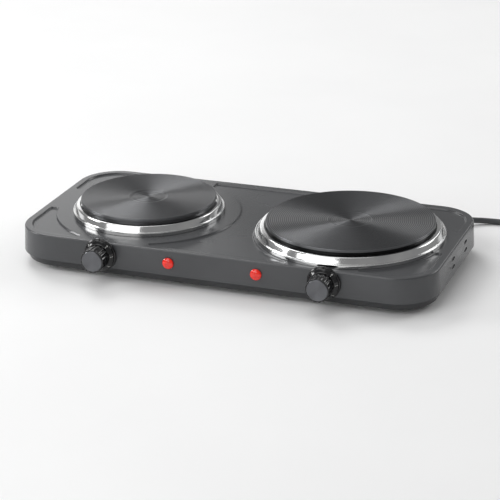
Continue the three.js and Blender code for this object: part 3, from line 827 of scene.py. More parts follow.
    def tie(self) -> Piece:
        """Wrap a strap round the turns of the coil."""
        inner = self.outer_turn - self.low_turns * self.pitch - self.diameter / 2 - 0.3 * MM
        outer = self.outer_turn + self.diameter / 2 + 0.3 * MM
        low = 0.1 * MM + self.tie_sheet
        high = self.high_level + self.diameter / 2 + self.tie_lift + 0.3 * MM
        step_top = self.low_level + self.diameter / 2 + self.tie_lift + 0.6 * MM
        corners = [(inner, low), (outer, low), (outer, step_top), (38.5 * MM, high), (inner, high)]
        loop = soften([*corners, *corners[:2]], 3.2 * MM, 5)[1:-1]
        angle = math.radians(self.tie_angle)
        out = Vector((math.cos(angle), math.sin(angle), 0))
        along = Vector((-math.sin(angle), math.cos(angle), 0))
        start = Vector((self.coil_centre.x, self.coil_centre.y, 0)) - along * self.tie_width / 2
        piece = Bench.draw("coil_tie", [start + out * reach + Vector((0, 0, height))
                                        for reach, height in loop], closed=True)
        with Bench.editing(piece, "EDGE"):
            bpy.ops.mesh.select_all(action="SELECT")
            bpy.ops.mesh.extrude_region_move(
                TRANSFORM_OT_translate={"value": along * self.tie_width})
        Bench.face_out(piece, out)
        Bench.apply(piece, "SOLIDIFY", thickness=self.tie_sheet, offset=1.0)
        Bench.smooth(piece)
        RUBBER.dress(piece)
        return piece

    def plug(self) -> Piece:
        """Turn the plug's body, with a ribbed sleeve and a slot in each side."""
        low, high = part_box("plug_body")
        centre = (low + high) / 2
        face, sleeve = low.y, high.y
        bore = self.diameter / 2 + 0.1 * MM
        outline = placed(0.0, face, (
            (0, 1.6), (14.2, 1.6), (14.8, 0), (17.8, 0), (18.7, 1.2), (18.7, 13), (17.0, 18),
            (11.5, 24), (7.8, 30)))
        ribs_start = face + 31 * MM
        step = (sleeve - ribs_start) / self.sleeve_ribs
        for rib in range(self.sleeve_ribs):
            outline += [((radius - 0.4 * rib) * MM, ribs_start + (rib + share) * step)
                        for radius, share in ((7.4, 0.0), (7.2, 0.6), (6.4, 0.75))]
        outline += [(5.2 * MM, sleeve), (bore, sleeve), (bore, sleeve - 6 * MM),
                    (0, sleeve - 6 * MM)]
        body = Bench.turn("plug_moulding", soften(outline, 0.9 * MM, 3), centre, Axis.DEEP, 72)
        for way in (-1, 1):
            Bench.cut(body, Bench.block("slot", Vector((8, 22, 4)) * MM, Vector((
                centre.x, face + 9 * MM, centre.z + way * 18.4 * MM))))
        Bench.smooth(body)
        KNOB_PLASTIC.dress(body)
        return body

    def pins(self) -> list[Piece]:
        """Turn the plug's two pins."""
        pins = []
        for number in (1, 2):
            node = f"plug_pin_{number}"
            low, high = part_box(node)
            outline = [*placed(0.0, low.y, ((0, 0), (1.5, 0), (2.4, 1.6))),
                       *placed(0.0, high.y, ((2.4, 1.5), (0, 1.5)))]
            pin = Bench.turn(f"round_pin_{number}", soften(outline, 0.7 * MM, 4), middle_of(node),
                             Axis.DEEP, 32)
            Bench.smooth(pin)
            NICKEL.dress(pin)
            pins.append(pin)
        return pins

    def build(self) -> None:
        cord, relief, tie, body, pins = (
            self.cord(), self.relief(), self.tie(), self.plug(), self.pins())
        declare(cord, "cord_pvc", "cord_run", "cord_coil", "cord_tail")
        declare(relief, "rubber_black", "strain_relief")
        declare(tie, "rubber_black")
        declare(body, "knob_black", "plug_body")
        for number, pin in enumerate(pins, 1):
            declare(pin, "nickel", f"plug_pin_{number}")


# ---- housing ------------------------------------------------------------------------------------
@dataclass
class Housing:
    """Pressed steel top of the appliance, with its shallow fields, holes and louvres."""

    corner: float = 46 * MM
    draft: float = 1.1 * MM
    sheet: float = 1.2 * MM
    edge_round: float = 1.6 * MM
    rim: float = 7.6 * MM
    field_depth: float = 1.8 * MM
    field_slope: float = 1.6 * MM
    strip: float = 39 * MM
    end_strip: tuple[float, float] = (-15.2 * MM, 46.8 * MM)
    support: float = 0.5 * MM
    corner_steps: int = 24
    hole_inset: float = 10 * MM
    lands: dict[Side, float] = field(default_factory=lambda: {
        Side.LEFT: 103 * MM, Side.RIGHT: 104.5 * MM})
    press_steps: int = 8
    louvre_places: tuple[float, float] = (-6.7 * MM, 45.8 * MM)
    louvre_levels: tuple[float, float] = (24.5 * MM, 33.3 * MM)
    louvre_size: tuple[float, float, float] = (1.9 * MM, 8.4 * MM, 2.1 * MM)
    louvre_out: float = 0.75 * MM
    louvre_turn: float = 10.5
    spindle_hole: float = 5 * MM
    lamp_hole: float = 4.6 * MM
    screw_hole: float = 2 * MM
    screw_reach: float = 9.5 * MM

    def __post_init__(self) -> None:
        """Read the housing's size and the places of what it carries."""
        self.low, self.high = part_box("top_housing")
        self.middle = (self.low + self.high) / 2
        self.half_length = (self.high.x - self.low.x) / 2 - self.draft
        self.half_depth = (self.high.y - self.low.y) / 2 - self.draft
        self.top = self.high.z
        self.burners = {side: Burner.centre(side) for side in Side}

    def plan_block(self, inset: float, low: float, high: float, steps: int) -> Piece:
        """A block of the housing's plan, with round corners.

        Args:
            inset: how far inside the housing's edge it lies.
            low: its underside.
            high: its top.
            steps: the number of short edges in each corner.

        Returns:
            The block.
        """
        size = Vector((2 * (self.half_length - inset), 2 * (self.half_depth - inset), high - low))
        block = Bench.block("plan", size, Vector((self.middle.x, self.middle.y, (low + high) / 2)))
        Bench.round_edges(block, upright, self.corner - inset, steps)
        return block

    def shell(self) -> Piece:
        """The walls and the rounded top edge, with no panel yet."""
        shell = self.plan_block(0.0, self.low.z, self.top, self.corner_steps)
        flat_x = self.half_length - self.corner - MM
        flat_y = self.half_depth - self.corner - MM
        with Bench.editing(shell):
            for way, reach in ((Vector((1, 0, 0)), flat_x), (Vector((0, 1, 0)), flat_y)):
                for sign in (-1, 1):
                    bpy.ops.mesh.select_all(action="SELECT")
                    bpy.ops.mesh.bisect(plane_co=self.middle + way * reach * sign, plane_no=way)
            Bench.pick("verts", lambda v: v.co.z < self.low.z + MM)
            grow = Vector(((self.half_length + self.draft) / self.half_length,
                           (self.half_depth + self.draft) / self.half_depth, 1))
            bpy.ops.transform.resize(
                value=grow, center_override=(self.middle.x, self.middle.y, self.low.z))
            Bench.pick("faces", lambda f: f.normal.z < -0.9)
            bpy.ops.mesh.delete(type="FACE")
        Bench.round_edges(shell, self.rim_edge, self.edge_round, 5)
        with Bench.editing(shell):
            Bench.pick("faces", lambda f: f.normal.z > 0.999
                       and f.calc_center_median().z > self.top - 0.01 * MM)
            bpy.ops.mesh.inset(thickness=self.support, depth=0.0)
            bpy.ops.mesh.delete(type="FACE")
        return shell

    def rim_edge(self, edge: bmesh.types.BMEdge) -> bool:
        """Whether an edge runs between the top and a wall."""
        slopes = sorted(face.normal.z for face in edge.link_faces)
        return len(slopes) == 2 and slopes[1] > 0.9 and slopes[0] < 0.5

    def field_outlines(self) -> Piece:
        """The flat outlines of the pressed fields, with their corners rounded."""
        thick = 4 * MM
        fields = self.plan_block(self.rim, self.top - thick, self.top, self.corner_steps)
        tools = []
        for side, centre in self.burners.items():
            middle = Vector((centre.x, centre.y, self.top))
            tools += [Bench.rod("land", self.lands[side], 4 * thick, middle, Axis.UP, 128),
                      Bench.block("strip", Vector((2 * self.strip, 1, 4 * thick)), middle)]
        low, high = self.end_strip
        for sign in (-1, 1):
            reach = self.half_length - 80 * MM
            centre = Vector((sign * (reach + 0.25), (low + high) / 2, self.top))
            tools.append(Bench.block("end_strip", Vector((0.5, high - low, 4 * thick)), centre))
        Bench.cut(fields, *tools)
        with Bench.editing(fields):
            Bench.pick("faces", lambda f: f.normal.z < 0.9)
            bpy.ops.mesh.delete(type="FACE")
            bpy.ops.mesh.select_all(action="SELECT")
            bpy.ops.mesh.remove_doubles(threshold=MERGE)
            bpy.ops.mesh.dissolve_limited(angle_limit=math.radians(0.05))
        near_end = self.half_length - 40 * MM
        self.round_corners(fields, lambda v: abs(v.co.x) > near_end, 7 * MM)
        self.round_corners(fields, lambda v: abs(v.co.x) <= near_end, 2.9 * MM)
        return fields

    @staticmethod
    def round_corners(piece: Piece, where: VertTest, radius: float) -> None:
        """Round the corners of a flat outline.

        Args:
            piece: flat faces whose boundaries are the outlines.
            where: which corners are rounded.
            radius: how far from each corner its curve starts.
        """
        sharp = math.radians(18)

        def turning(vert: bmesh.types.BMVert) -> float:
            """How sharply the outline turns at a vertex."""
            ways = [edge.other_vert(vert).co - vert.co
                    for edge in vert.link_edges if edge.is_boundary]
            return math.pi - ways[0].angle(ways[1]) if len(ways) == 2 else 0.0

        def corner(vert: bmesh.types.BMVert) -> bool:
            """Whether a vertex is a corner to round."""
            return turning(vert) > sharp and where(vert)

        with Bench.editing(piece, "VERT"):
            mesh = bmesh.from_edit_mesh(piece.data)
            corners = [vert.co.copy() for vert in mesh.verts if corner(vert)]
            Bench.pick("verts", lambda v: turning(v) <= sharp and any(
                (v.co - place).length < radius * 1.15 for place in corners))
            bpy.ops.mesh.dissolve_verts()
            Bench.pick("verts", corner)
            bpy.ops.mesh.bevel(offset=radius, segments=7, affect="VERTICES", clamp_overlap=True)
            bpy.ops.mesh.select_all(action="SELECT")
            bpy.ops.mesh.remove_doubles(threshold=0.1 * MM)

    def press(self, fields: Piece) -> None:
        """Press the fields down with a soft shoulder at the top and the bottom of their sides."""
        with Bench.editing(fields):
            bpy.ops.mesh.select_all(action="SELECT")
            bpy.ops.mesh.inset(thickness=self.support, depth=0.0)
            done = 0.0
            for step in range(1, self.press_steps + 1):
                t = step / self.press_steps
                down = t * t * (3 - 2 * t)
                bpy.ops.mesh.inset(thickness=self.field_slope / self.press_steps,
                                   depth=-(down - done) * self.field_depth)
                done = down
            bpy.ops.mesh.inset(thickness=self.support, depth=0.0)
            bpy.ops.mesh.delete(type="FACE")
        with Bench.editing(fields, "EDGE"):
            Bench.pick("edges", lambda e: e.is_boundary and all(
                v.co.z < self.top - self.field_depth * 0.9 for v in e.verts))
            bpy.ops.mesh.fill(use_beauty=True)

    def panel(self, shell: Piece, fields: Piece) -> Piece:
        """Fill the flat panel between the edge, the fields and the burners' holes."""
        rings = []
        for centre in self.burners.values():
            Bench.clear()
            bpy.ops.mesh.primitive_circle_add(
                vertices=96, radius=centre.z - self.hole_inset, fill_type="NOTHING",
                location=(centre.x, centre.y, self.top))
            rings.append(Bench.settle(bpy.context.active_object, "hole"))
        whole = Bench.gather("housing_shell", shell, fields, *rings)

        def loose_rim(edge: bmesh.types.BMEdge) -> bool:
            """Whether an edge bounds the open panel."""
            level = all(abs(vert.co.z - self.top) < 0.02 * MM for vert in edge.verts)
            return level and len(edge.link_faces) < 2

        with Bench.editing(whole, "EDGE"):
            Bench.pick("edges", loose_rim)
            bpy.ops.mesh.fill(use_beauty=True)
        Bench.face_out(whole, Vector((0, 0, 1)))
        return whole

    def louvres(self) -> list[Piece]:
        """Tools that press tapering dents into the side walls and break through at their rear."""
        tools = []
        for sign in (-1, 1):
            for y in self.louvre_places:
                for z in self.louvre_levels:
                    lean = self.draft * (self.top - z) / (self.top - self.low.z)
                    Bench.clear()
                    bpy.ops.mesh.primitive_uv_sphere_add(
                        segments=32, ring_count=20, radius=1,
                        location=(sign * (self.half_length + lean + self.louvre_out), y, z),
                        rotation=(0, 0, sign * math.radians(self.louvre_turn)),
                        scale=self.louvre_size)
                    tools.append(Bench.settle(bpy.context.active_object, "louvre"))
        return tools

    def holes(self) -> list[Piece]:
        """Tools for the holes that the controls, lamps and cord go through."""
        rows = []
        for side in Side:
            spindle = f"{side.value}_spindle"
            rows += [(spindle, 0.0, self.low.y, self.spindle_hole, 32),
                     (spindle, -self.screw_reach, self.low.y, self.screw_hole, 16),
                     (spindle, self.screw_reach, self.low.y, self.screw_hole, 16),
                     (f"{side.value}_lamp_lens", 0.0, self.low.y, self.lamp_hole, 32)]
        rows.append(("strain_relief", 0.0, self.high.y, CORD_HOLE, 40))
        tools = []
        for node, beside, wall, radius, segments in rows:
            middle = middle_of(node)
            place = Vector((middle.x + beside, wall, middle.z))
            tools.append(Bench.rod("hole", radius, DRILL, place, Axis.DEEP, segments))
        return tools

    def build(self) -> None:
        """Press, pierce and enamel the housing."""
        fields = self.field_outlines()
        self.press(fields)
        housing = self.panel(self.shell(), fields)
        Bench.apply(housing, "SOLIDIFY", thickness=self.sheet, offset=-1.0, use_even_offset=True)
        Bench.cut(housing, *self.holes(), *self.louvres())
        Bench.settle(housing, "pressed_housing")
        Bench.smooth(housing, 32)
        HOUSING_ENAMEL.dress(housing)
        declare(housing, "housing_enamel", "top_housing")
        LOG.info("housing: %d faces", len(housing.data.polygons))


# ---- base ---------------------------------------------------------------------------------------
@dataclass
class Base:
    """Base tray, its feet and the screws that hold them."""

    corner: float = 42.8 * MM
    sheet: float = 0.9 * MM
    edge_round: float = 2.0 * MM
    slot_width: float = 5 * MM
    slot_length: float = 46 * MM
    slot_pitch: float = 16 * MM
    slots_each_way: int = 3
    screw_hole: float = 2.3 * MM

    def tray(self) -> Piece:
        """Press and pierce the tray."""
        low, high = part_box("base_tray")
        middle = (low + high) / 2
        tray = Bench.block("tray", high - low, middle)
        Bench.round_edges(tray, upright, self.corner, 24)
        with Bench.editing(tray):
            Bench.pick("faces", lambda f: f.normal.z > 0.9)
            bpy.ops.mesh.delete(type="FACE")
        Bench.round_edges(tray, lambda e: all(v.co.z < low.z + MERGE for v in e.verts),
                          self.edge_round, 5)
        with Bench.editing(tray):
            Bench.pick("faces", lambda f: f.normal.z < -0.999)
            bpy.ops.mesh.inset(thickness=0.5 * MM, depth=0.0)
        Bench.face_out(tray, Vector((0, 0, -1)))
        Bench.apply(tray, "SOLIDIFY", thickness=self.sheet, offset=-1.0, use_even_offset=True)
        Bench.cut(tray, *self.openings(low, high))
        Bench.settle(tray, "pressed_tray")
        Bench.smooth(tray, 35)
        return tray

    def openings(self, low: Vector, high: Vector) -> list[Piece]:
        """Tools for the tray's slots, notches and holes.

        Args:
            low, high: the corners of the tray's box.

        Returns:
            Air slots under the burners, notches behind the controls and lamps, and round holes.
        """
        tools = []
        for side in Side:
            centre = Burner.centre(side)
            for number in range(-self.slots_each_way, self.slots_each_way + 1):
                slot = Bench.block("slot", Vector((self.slot_width, self.slot_length, 6 * MM)),
                                   Vector((centre.x + number * self.slot_pitch, centre.y, low.z)))
                Bench.round_edges(slot, upright, self.slot_width * 0.499, 8)
                tools.append(slot)
            for node, width, lift in (("knob", 46, 5 * MM), ("lamp_lens", 16, 6 * MM)):
                place = Vector((middle_of(f"{side.value}_{node}").x, low.y + 1.8 * MM,
                                high.z + lift))
                tools.append(Bench.block("notch", Vector((width, 12, 20)) * MM, place))
        for corner in Foot.corners():
            centre = Foot.centre(corner)
            tools.append(Bench.rod("hole", self.screw_hole, 6 * MM,
                                   Vector((centre.x, centre.y, low.z)), Axis.UP, 24))
        relief = middle_of("strain_relief")
        tools.append(Bench.rod("hole", CORD_HOLE, DRILL, Vector((relief.x, high.y, relief.z)),
                               Axis.DEEP, 40))
        return tools

    def build(self) -> None:
        """Make the tray, then the feet under it."""
        tray = self.tray()
        TRAY_ENAMEL.dress(tray)
        declare(tray, "tray_steel", "base_tray")
        LOG.info("tray: %d faces", len(tray.data.polygons))
        Foot().build()


@dataclass
class Foot:
    """Rubber foot with the screw that holds it."""

    radius: float = 11 * MM
    bore: float = 2.6 * MM
    pocket: float = 5.5 * MM

    @staticmethod
    def corners() -> list[str]:
        """The names of the four corners."""
        return [f"{depth}_{side.value}" for depth in ("front", "back") for side in Side]

    @staticmethod
    def centre(corner: str) -> Vector:
        """The middle of the foot at a corner, on the table."""
        middle = middle_of(f"foot_{corner}")
        return Vector((middle.x, middle.y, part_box(f"foot_{corner}")[0].z))

    def rubber(self, name: str, centre: Vector) -> Piece:
        """Turn one foot."""
        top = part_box("foot_front_left")[1].z
        outline = [(self.bore, top), (self.bore, 3.5 * MM), (self.pocket, 3.5 * MM),
                   (self.pocket, 0.0),
                   *placed(0.0, 0.0, ((7.4, 0), (7.4, 0.5), (8.0, 0.5), (8.0, 0))),
                   *placed(self.radius, 0.0, ((-1.8, 0), (-0.4, 1.0))),
                   (self.radius, top), (self.bore, top)]
        foot = Bench.turn(name, soften(outline, 0.5 * MM, 3), centre, Axis.UP, 56)
        Bench.smooth(foot)
        return foot

    def screw(self, name: str, centre: Vector) -> Piece:
        """Turn one pan-head screw and cut its cross."""
        outline = placed(0.0, 0.0, (
            (0, 1.4), (2.6, 1.45), (3.9, 1.9), (4.4, 2.7), (4.4, 3.2), (1.9, 3.2), (1.9, 12.2),
            (1.2, 13), (0, 13)))
        screw = Bench.turn(name, soften(outline, 0.4 * MM, 3), centre, Axis.UP, 40)
        for size in (Vector((4.4, 0.9, 2.0)), Vector((0.9, 4.4, 2.0))):
            Bench.cut(screw, Bench.block("cross", size * MM,
                                         Vector((centre.x, centre.y, 1.4 * MM))))
        Bench.smooth(screw, 35)
        return screw

    def build(self) -> None:
        """Make one foot and one screw, and copy them to the other corners."""
        first, *others = self.corners()
        start = self.centre(first)
        foot = self.rubber(f"rubber_foot_{first}", start)
        screw = self.screw(f"cross_screw_{first}", start)
        pieces = [(first, foot, screw)]
        for corner in others:
            move = self.centre(corner) - start
            pieces.append((corner, Bench.copy(foot, f"rubber_foot_{corner}", move),
                           Bench.copy(screw, f"cross_screw_{corner}", move)))
        for corner, foot, screw in pieces:
            RUBBER.dress(foot)
            NICKEL.dress(screw)
            declare(foot, "rubber_black", f"foot_{corner}")
            declare(screw, "nickel", f"foot_screw_{corner}")
        LOG.info("feet: %d", len(pieces))


# ---- burners ------------------------------------------------------------------------------------
@dataclass
class Burner:
    """Cast plate with its turned face, and the polished ring round it."""

    side: Side
    dish: float
    ring: float
    groove_depth: float
    groove_pitch: float
    dish_pitch: float = 1.4 * MM
    steps: int = 160

    @staticmethod
    def centre(side: Side) -> Vector:
        """The middle of a burner, with the plate's radius in place of its height."""
        plate = f"{side.value}_hot_plate"
        middle = middle_of(plate)
        return Vector((middle.x, middle.y, half_width(plate)))

    def grooves(self, start: float, end: float, top: float, pitch: float) -> Outline:
        """The wavy outline of concentric grooves.

        Args:
            start, end: the radii that they lie between.
            top: the height of the ridges.
            pitch: the distance from one groove to the next, before it is fitted to the space.

        Returns:
            Four points for each groove, and one for the last ridge.
        """
        count = max(round((end - start) / pitch), 1)
        step = (end - start) / count
        depth = self.groove_depth * pitch / self.groove_pitch
        wave = ((0.0, 0.0), (0.25, 0.5), (0.5, 1.0), (0.75, 0.5))
        outline = [(start + (groove + share) * step, top - down * depth)
                   for groove in range(count) for share, down in wave]
        return [*outline, (end, top)]

    def plate(self) -> Piece:
        """Turn the plate, with its dished middle and its concentric grooves."""
        low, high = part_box(f"{self.side.value}_hot_plate")
        middle = self.centre(self.side)
        radius, top, foot = middle.z, high.z, low.z
        dip = top - 0.6 * MM
        start, end = self.dish + 1.2 * MM, radius - 2.4 * MM
        outline = [(0.0, dip), *self.grooves(1.0 * MM, self.dish - 2.6 * MM, dip, self.dish_pitch),
                   (self.dish - 2.0 * MM, dip),
                   *placed(self.dish, top, ((-0.4, -0.1), (0.4, 0))),
                   *self.grooves(start, end, top, self.groove_pitch)]
        rim = [(end + 0.4 * MM, top),
               *placed(radius, top, ((-0.5, 0), (0, -0.6), (0, -3.2), (-3.3, -3.8))),
               (radius - 3.3 * MM, foot), (radius - 6.3 * MM, foot),
               (radius - 6.9 * MM, top - 5.4 * MM),
               *placed(0.0, top, ((10, -5.4), (9, -12), (3.3, -12), (3.3, -7), (0, -7)))]
        plate = Bench.turn(f"{self.side.value}_cast_plate", outline + soften(rim, 0.45 * MM, 3),
                           middle, Axis.UP, self.steps)
        Bench.smooth(plate, 50)
        # Sand-cast grey iron, faced on a lathe and fired with a graphite coat: a dull dark sheen.
        # Its colour paints shade in each groove and a highlight on each ridge.
        TurnedFinish(f"{self.side.value}_faced_cast_iron", "#161718", "#626365", (0.42, 0.33),
                     1 * MM, 0.003 * MM, 50 * MM, 0.75, centre=(middle.x, middle.y, 0.0),
                     pitch=0.55 * MM, spread=0.93, line_start=start,
                     line_pitch=(end - start) / round((end - start) / self.groove_pitch)
                     ).dress(plate)
        return plate

    def trim_ring(self) -> Piece:
        """Draw the ring from sheet: a flat collar, a slope, a groove and a rolled bead."""
        middle = self.centre(self.side)
        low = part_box(f"{self.side.value}_trim_ring")[0]
        panel = low.z - 0.3 * MM
        radius, width = middle.z + MM, self.ring
        collar = placed(radius, panel, ((-3.8, 9.0), (-0.5, 9.0), (-0.1, 10.9), (0.5, 11.1)))
        slope = [(radius + share * width, panel + height * MM) for share, height in (
            (0.42, 10.8), (0.50, 10.0), (0.70, 5.2), (0.74, 4.3), (0.80, 4.3), (0.84, 4.9),
            (0.95, 4.9), (1.0, 4.0))]
        outline = [*collar, *slope, (radius + width, low.z)]
        ring = Bench.turn(f"{self.side.value}_polished_ring", soften(outline, 0.7 * MM, 4),
                          middle, Axis.UP, self.steps, lead=Vector((0, 0, 1)))
        Bench.apply(ring, "SOLIDIFY", thickness=0.7 * MM, offset=-1.0, use_even_offset=True)
        Bench.smooth(ring, 50)
        STAINLESS.dress(ring)
        return ring

    def build(self) -> None:
        """Make the plate and its ring."""
        for piece, node, slot in ((self.plate(), "hot_plate", "cast_iron"),
                                  (self.trim_ring(), "trim_ring", "stainless")):
            declare(piece, slot, f"{self.side.value}_{node}")
            LOG.info("%s: %d faces", piece.name, len(piece.data.polygons))


# ---- controls -----------------------------------------------------------------------------------
@dataclass
class Control:
    """A knob with its printed scale and cap, and the bezel behind it."""

    side: Side
    flutes: int = 16
    flute_depth: float = 0.7 * MM
    grip: float = 13.3 * MM
    skirt: float = 17.2 * MM
    skirt_top: float = 14.3 * MM
    skirt_height: float = 4.8 * MM
    skirt_edge: float = 1.4 * MM
    recess: float = 12.1 * MM
    recess_depth: float = 2.4 * MM
    steps_left: int = 6
    first_mark: float = 40.0
    mark_step: float = 46.0
    ink: float = 0.05 * MM
    cap_rings: int = 24
    cap_dish: float = 0.5 * MM
    bezel_bore: float = 15.2 * MM

    def __post_init__(self) -> None:
        """Read the knob's place."""
        low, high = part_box(f"{self.side.value}_knob")
        self.middle = (low + high) / 2
        self.front, self.back = low.y, high.y
        self.body = Body.LEFT_CONTROL if self.side is Side.LEFT else Body.RIGHT_CONTROL

    def around(self, radius: float, y: float, angle: float) -> Vector:
        """A point round the knob's axis; angles run clockwise from the top, as seen in front."""
        return Vector((self.middle.x + radius * math.sin(angle), y,
                       self.middle.z + radius * math.cos(angle)))

    def knob(self) -> Piece:
        """Mould the skirt and the fluted grip in one."""
        points_per_flute = 8
        count = self.flutes * points_per_flute
        route = []
        for step in range(count):
            angle = FULL_TURN * step / count
            dip = self.flute_depth * abs(math.cos(self.flutes * angle / 2)) ** 4
            route.append(self.around(self.grip - dip, self.back - MM, angle))
        grip = Bench.draw("grip", route, closed=True)
        with Bench.editing(grip, "EDGE"):
            bpy.ops.mesh.select_all(action="SELECT")
            bpy.ops.mesh.edge_face_add()
            bpy.ops.mesh.extrude_region_move(
                TRANSFORM_OT_translate={"value": (0, self.front - self.back + MM, 0)})
        Bench.face_out(grip)
        Bench.round_edges(grip, lambda e: all(v.co.y < self.front + MERGE for v in e.verts),
                          0.45 * MM, 3)
        edge, ledge = self.back - self.skirt_edge, self.back - self.skirt_height
        outline = [(0, self.back), (self.skirt, self.back), (self.skirt, edge),
                   (self.skirt_top, ledge), (0, ledge)]
        skirt = Bench.turn("skirt", soften(outline, 0.5 * MM, 4), self.middle, Axis.DEEP, 96)
        knob = Bench.weld(skirt, grip)
        recess = Bench.rod("recess", self.recess, 2 * self.recess_depth,
                           self.around(0, self.front, 0), Axis.DEEP, 96)
        bore = Bench.rod("bore", 3.3 * MM, 26 * MM, self.around(0, self.back, 0), Axis.DEEP, 32)
        Bench.cut(knob, recess, bore)
        Bench.settle(knob, f"{self.side.value}_fluted_knob")
        Bench.smooth(knob, 38)
        KNOB_PLASTIC.dress(knob)
        return knob

    def on_skirt(self, share: float, angle: float) -> Matrix:
        """A place on the skirt's cone, facing out of it.

        Args:
            share: how far down the cone, from 0 at the grip to 1 at the edge.
            angle: clockwise from the top, seen from the front.

        Returns:
            A matrix whose x runs round the knob and whose z points out of the cone.
        """
        y = self.back - self.skirt_height + (self.skirt_height - self.skirt_edge) * share
        radius = self.skirt_top + (self.skirt - self.skirt_top) * share
        out = self.around(1, 0, angle) - self.around(0, 0, angle)
        round_way = Vector((math.cos(angle), 0, -math.sin(angle)))
        slant = (out * (self.skirt - self.skirt_top)
                 + Vector((0, self.skirt_height - self.skirt_edge, 0))).normalized()
        turn = Matrix((round_way, slant, round_way.cross(slant))).transposed().to_4x4()
        return Matrix.Translation(self.around(radius, y, angle)) @ turn

    def scale(self) -> Piece:
        """Print the marks and the numbers of the heat settings on the skirt."""
        marks = []
        for number in range(self.steps_left + 1):
            angle = math.radians(self.first_mark + number * self.mark_step)
            Bench.clear()
            bpy.ops.mesh.primitive_cube_add(size=1, scale=(0.5 * MM, 0.9 * MM, 2 * self.ink))
            mark = bpy.context.active_object
            Bench.settle(mark)
            mark.matrix_world = self.on_skirt(0.16, angle)
            marks.append(Bench.settle(mark, "mark"))
            Bench.clear()
            bpy.ops.object.text_add()
            text = bpy.context.active_object
            text.data.body = str(number)
            text.data.size = 3.0 * MM
            text.data.extrude = self.ink
            text.data.align_x = "CENTER"
            text.data.align_y = "CENTER"
            bpy.ops.object.convert(target="MESH")
            text = bpy.context.active_object
            text.matrix_world = self.on_skirt(0.62, angle)
            marks.append(Bench.settle(text, "number"))
        scale = Bench.gather(f"{self.side.value}_knob_scale", *marks)
        SCALE_INK.dress(scale)
        return scale

    def cap(self) -> Piece:
        """Spin the cap from aluminium, with fine rings over a slightly dished face."""
        low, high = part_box(f"{self.side.value}_knob_cap")
        edge = (high.x - low.x) / 2
        step = (edge - 1.0 * MM) / self.cap_rings
        outline = []
        for ring in range(self.cap_rings):
            radius = ring * step
            level = low.y + self.cap_dish * (1 - (radius / edge) ** 2)
            outline += [(radius, level), (radius + step / 2, level + 0.012 * MM)]
        outline += [*placed(edge, low.y, ((-1.0, 0), (-0.5, 0.12), (-0.15, 0.5), (0, 1.0))),
                    (edge, high.y), (0, high.y)]
        cap = Bench.turn(f"{self.side.value}_spun_cap", outline, self.middle, Axis.DEEP, 96)
        Bench.smooth(cap, 50)
        # The cap's colour paints a faint highlight and shade in rings 1.2 mm apart.
        TurnedFinish(f"{self.side.value}_spun_aluminium", "#606164", "#6c6d70", (0.3, 0.36),
                     0.3 * MM, 0.0006 * MM, 9 * MM, 0.9, centre=(self.middle.x, 0.0, self.middle.z),
                     flat=(1.0, 0.0, 1.0), pitch=0.25 * MM).dress(cap)
        return cap

    def bezel(self) -> Piece:
        """Turn the bezel, with the pointer that the scale is read against."""
        low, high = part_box(f"{self.side.value}_knob_bezel")
        radius = (high.x - low.x) / 2
        wall, front = high.y, low.y
        outline = [(self.bezel_bore, wall), (radius, wall), (radius, wall - 1.5 * MM),
                   (radius - 0.8 * MM, front), (self.bezel_bore, front), (self.bezel_bore, wall)]
        bezel = Bench.turn(f"{self.side.value}_bezel_ring", soften(outline, 0.3 * MM, 3),
                           self.middle, Axis.DEEP, 96)
        pointer = Bench.block("pointer", Vector((1.6, 2.4, 1.8)) * MM,
                              self.around(radius - 0.3 * MM, wall - 1.3 * MM, 0))
        Bench.round_edges(pointer, lambda e: True, 0.3 * MM, 3)
        Bench.weld(bezel, pointer)
        Bench.settle(bezel, f"{self.side.value}_bezel_ring")
        Bench.smooth(bezel)
        KNOB_PLASTIC.dress(bezel)
        return bezel

    def build(self) -> None:
        """Make the control; all but the bezel turns with the knob."""
        rows = ((self.knob(), "knob", "knob_black", self.body),
                (self.cap(), "knob_cap", "knob_grey", self.body),
                (self.bezel(), "knob_bezel", "knob_black", Body.CHASSIS))
        for piece, node, slot, body in rows:
            declare(piece, slot, f"{self.side.value}_{node}", body=body)
        declare(self.scale(), "knob_grey", body=self.body)
        LOG.info("%s control ready", self.side.value)


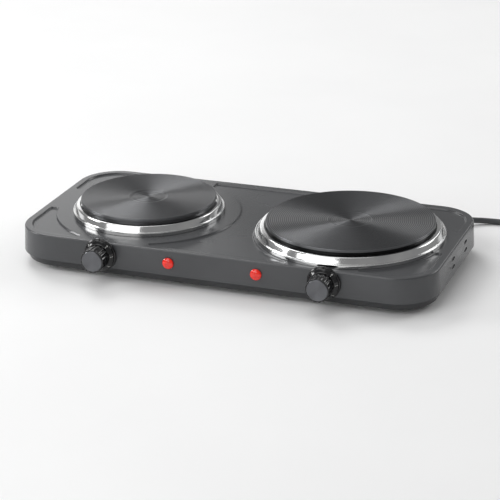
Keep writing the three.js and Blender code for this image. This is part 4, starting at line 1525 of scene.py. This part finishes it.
@dataclass
class Lamp:
    """Red lens of a pilot lamp."""

    side: Side
    barrel: float = 4.3 * MM
    barrel_length: float = 10 * MM
    collar: float = 0.5 * MM
    dome_steps: int = 12

    def build(self) -> None:
        """Mould the lens: a low dome on a barrel that snaps into the wall."""
        low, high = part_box(f"{self.side.value}_lamp_lens")
        middle = (low + high) / 2
        wall = high.y - self.barrel_length
        radius = (high.x - low.x) / 2
        foot = wall - self.collar
        dome = [(radius * math.cos(angle), foot - (foot - low.y) * math.sin(angle)) for angle in (
            math.pi / 2 * (1 - step / self.dome_steps) for step in range(self.dome_steps + 1))]
        outline = dome + [(radius, wall), (self.barrel, wall), (self.barrel, high.y), (0, high.y)]
        lens = Bench.turn(f"{self.side.value}_pilot_lens", outline, middle, Axis.DEEP, 64)
        Bench.smooth(lens)
        LENS_RED.dress(lens)
        declare(lens, "lamp_red", f"{self.side.value}_lamp_lens")


# ---- inner works --------------------------------------------------------------------------------
@dataclass
class InnerWorks:
    """The pieces inside the housing, which keep their frame shapes and take real finishes."""

    finishes: dict[str, Finish] = field(default_factory=lambda: {
        "heating_winding": MAGNESIA, "plate_cover": ZINC, "clamp_bar": ZINC, "clamp_bolt": NICKEL,
        "plate_terminals": STEATITE, "spindle": NICKEL, "regulator": BAKELITE,
        "regulator_screw_1": NICKEL, "regulator_screw_2": NICKEL, "neon_tube": NEON_GLASS,
    })
    single: dict[str, Finish] = field(default_factory=lambda: {
        "mains_wire_left": SILICONE, "mains_wire_right": SILICONE, "burner_wire_left": SILICONE,
        "burner_wire_right": SILICONE, "mains_terminal_block": STEATITE, "earth_stud": BRASS,
        "cord_saddle": BAKELITE, "cord_inside": CORD_PVC,
    })

    def build(self) -> None:
        """Give each inner node its finish."""
        nodes = frame["nodes"]
        for side in Side:
            for name, finish in self.finishes.items():
                finish.dress(nodes[f"{side.value}_{name}"])
        for name, finish in self.single.items():
            finish.dress(nodes[name])
        LOG.info("inner works dressed")


def main() -> None:
    """Build the appliance piece by piece."""
    logging.basicConfig(level=logging.INFO, format="%(name)s: %(message)s")
    Bench.clear()
    Studio().build()
    MainsLead().build()
    Housing().build()
    Base().build()
    Burner(Side.LEFT, dish=21.7 * MM, ring=8.2 * MM, groove_depth=0.14 * MM,
           groove_pitch=1.1 * MM).build()
    Burner(Side.RIGHT, dish=24 * MM, ring=10.7 * MM, groove_depth=0.34 * MM,
           groove_pitch=2.2 * MM).build()
    for side in Side:
        Control(side).build()
        Lamp(side).build()
    InnerWorks().build()
    Bench.clear()


if __name__ == "__main__":
    main()
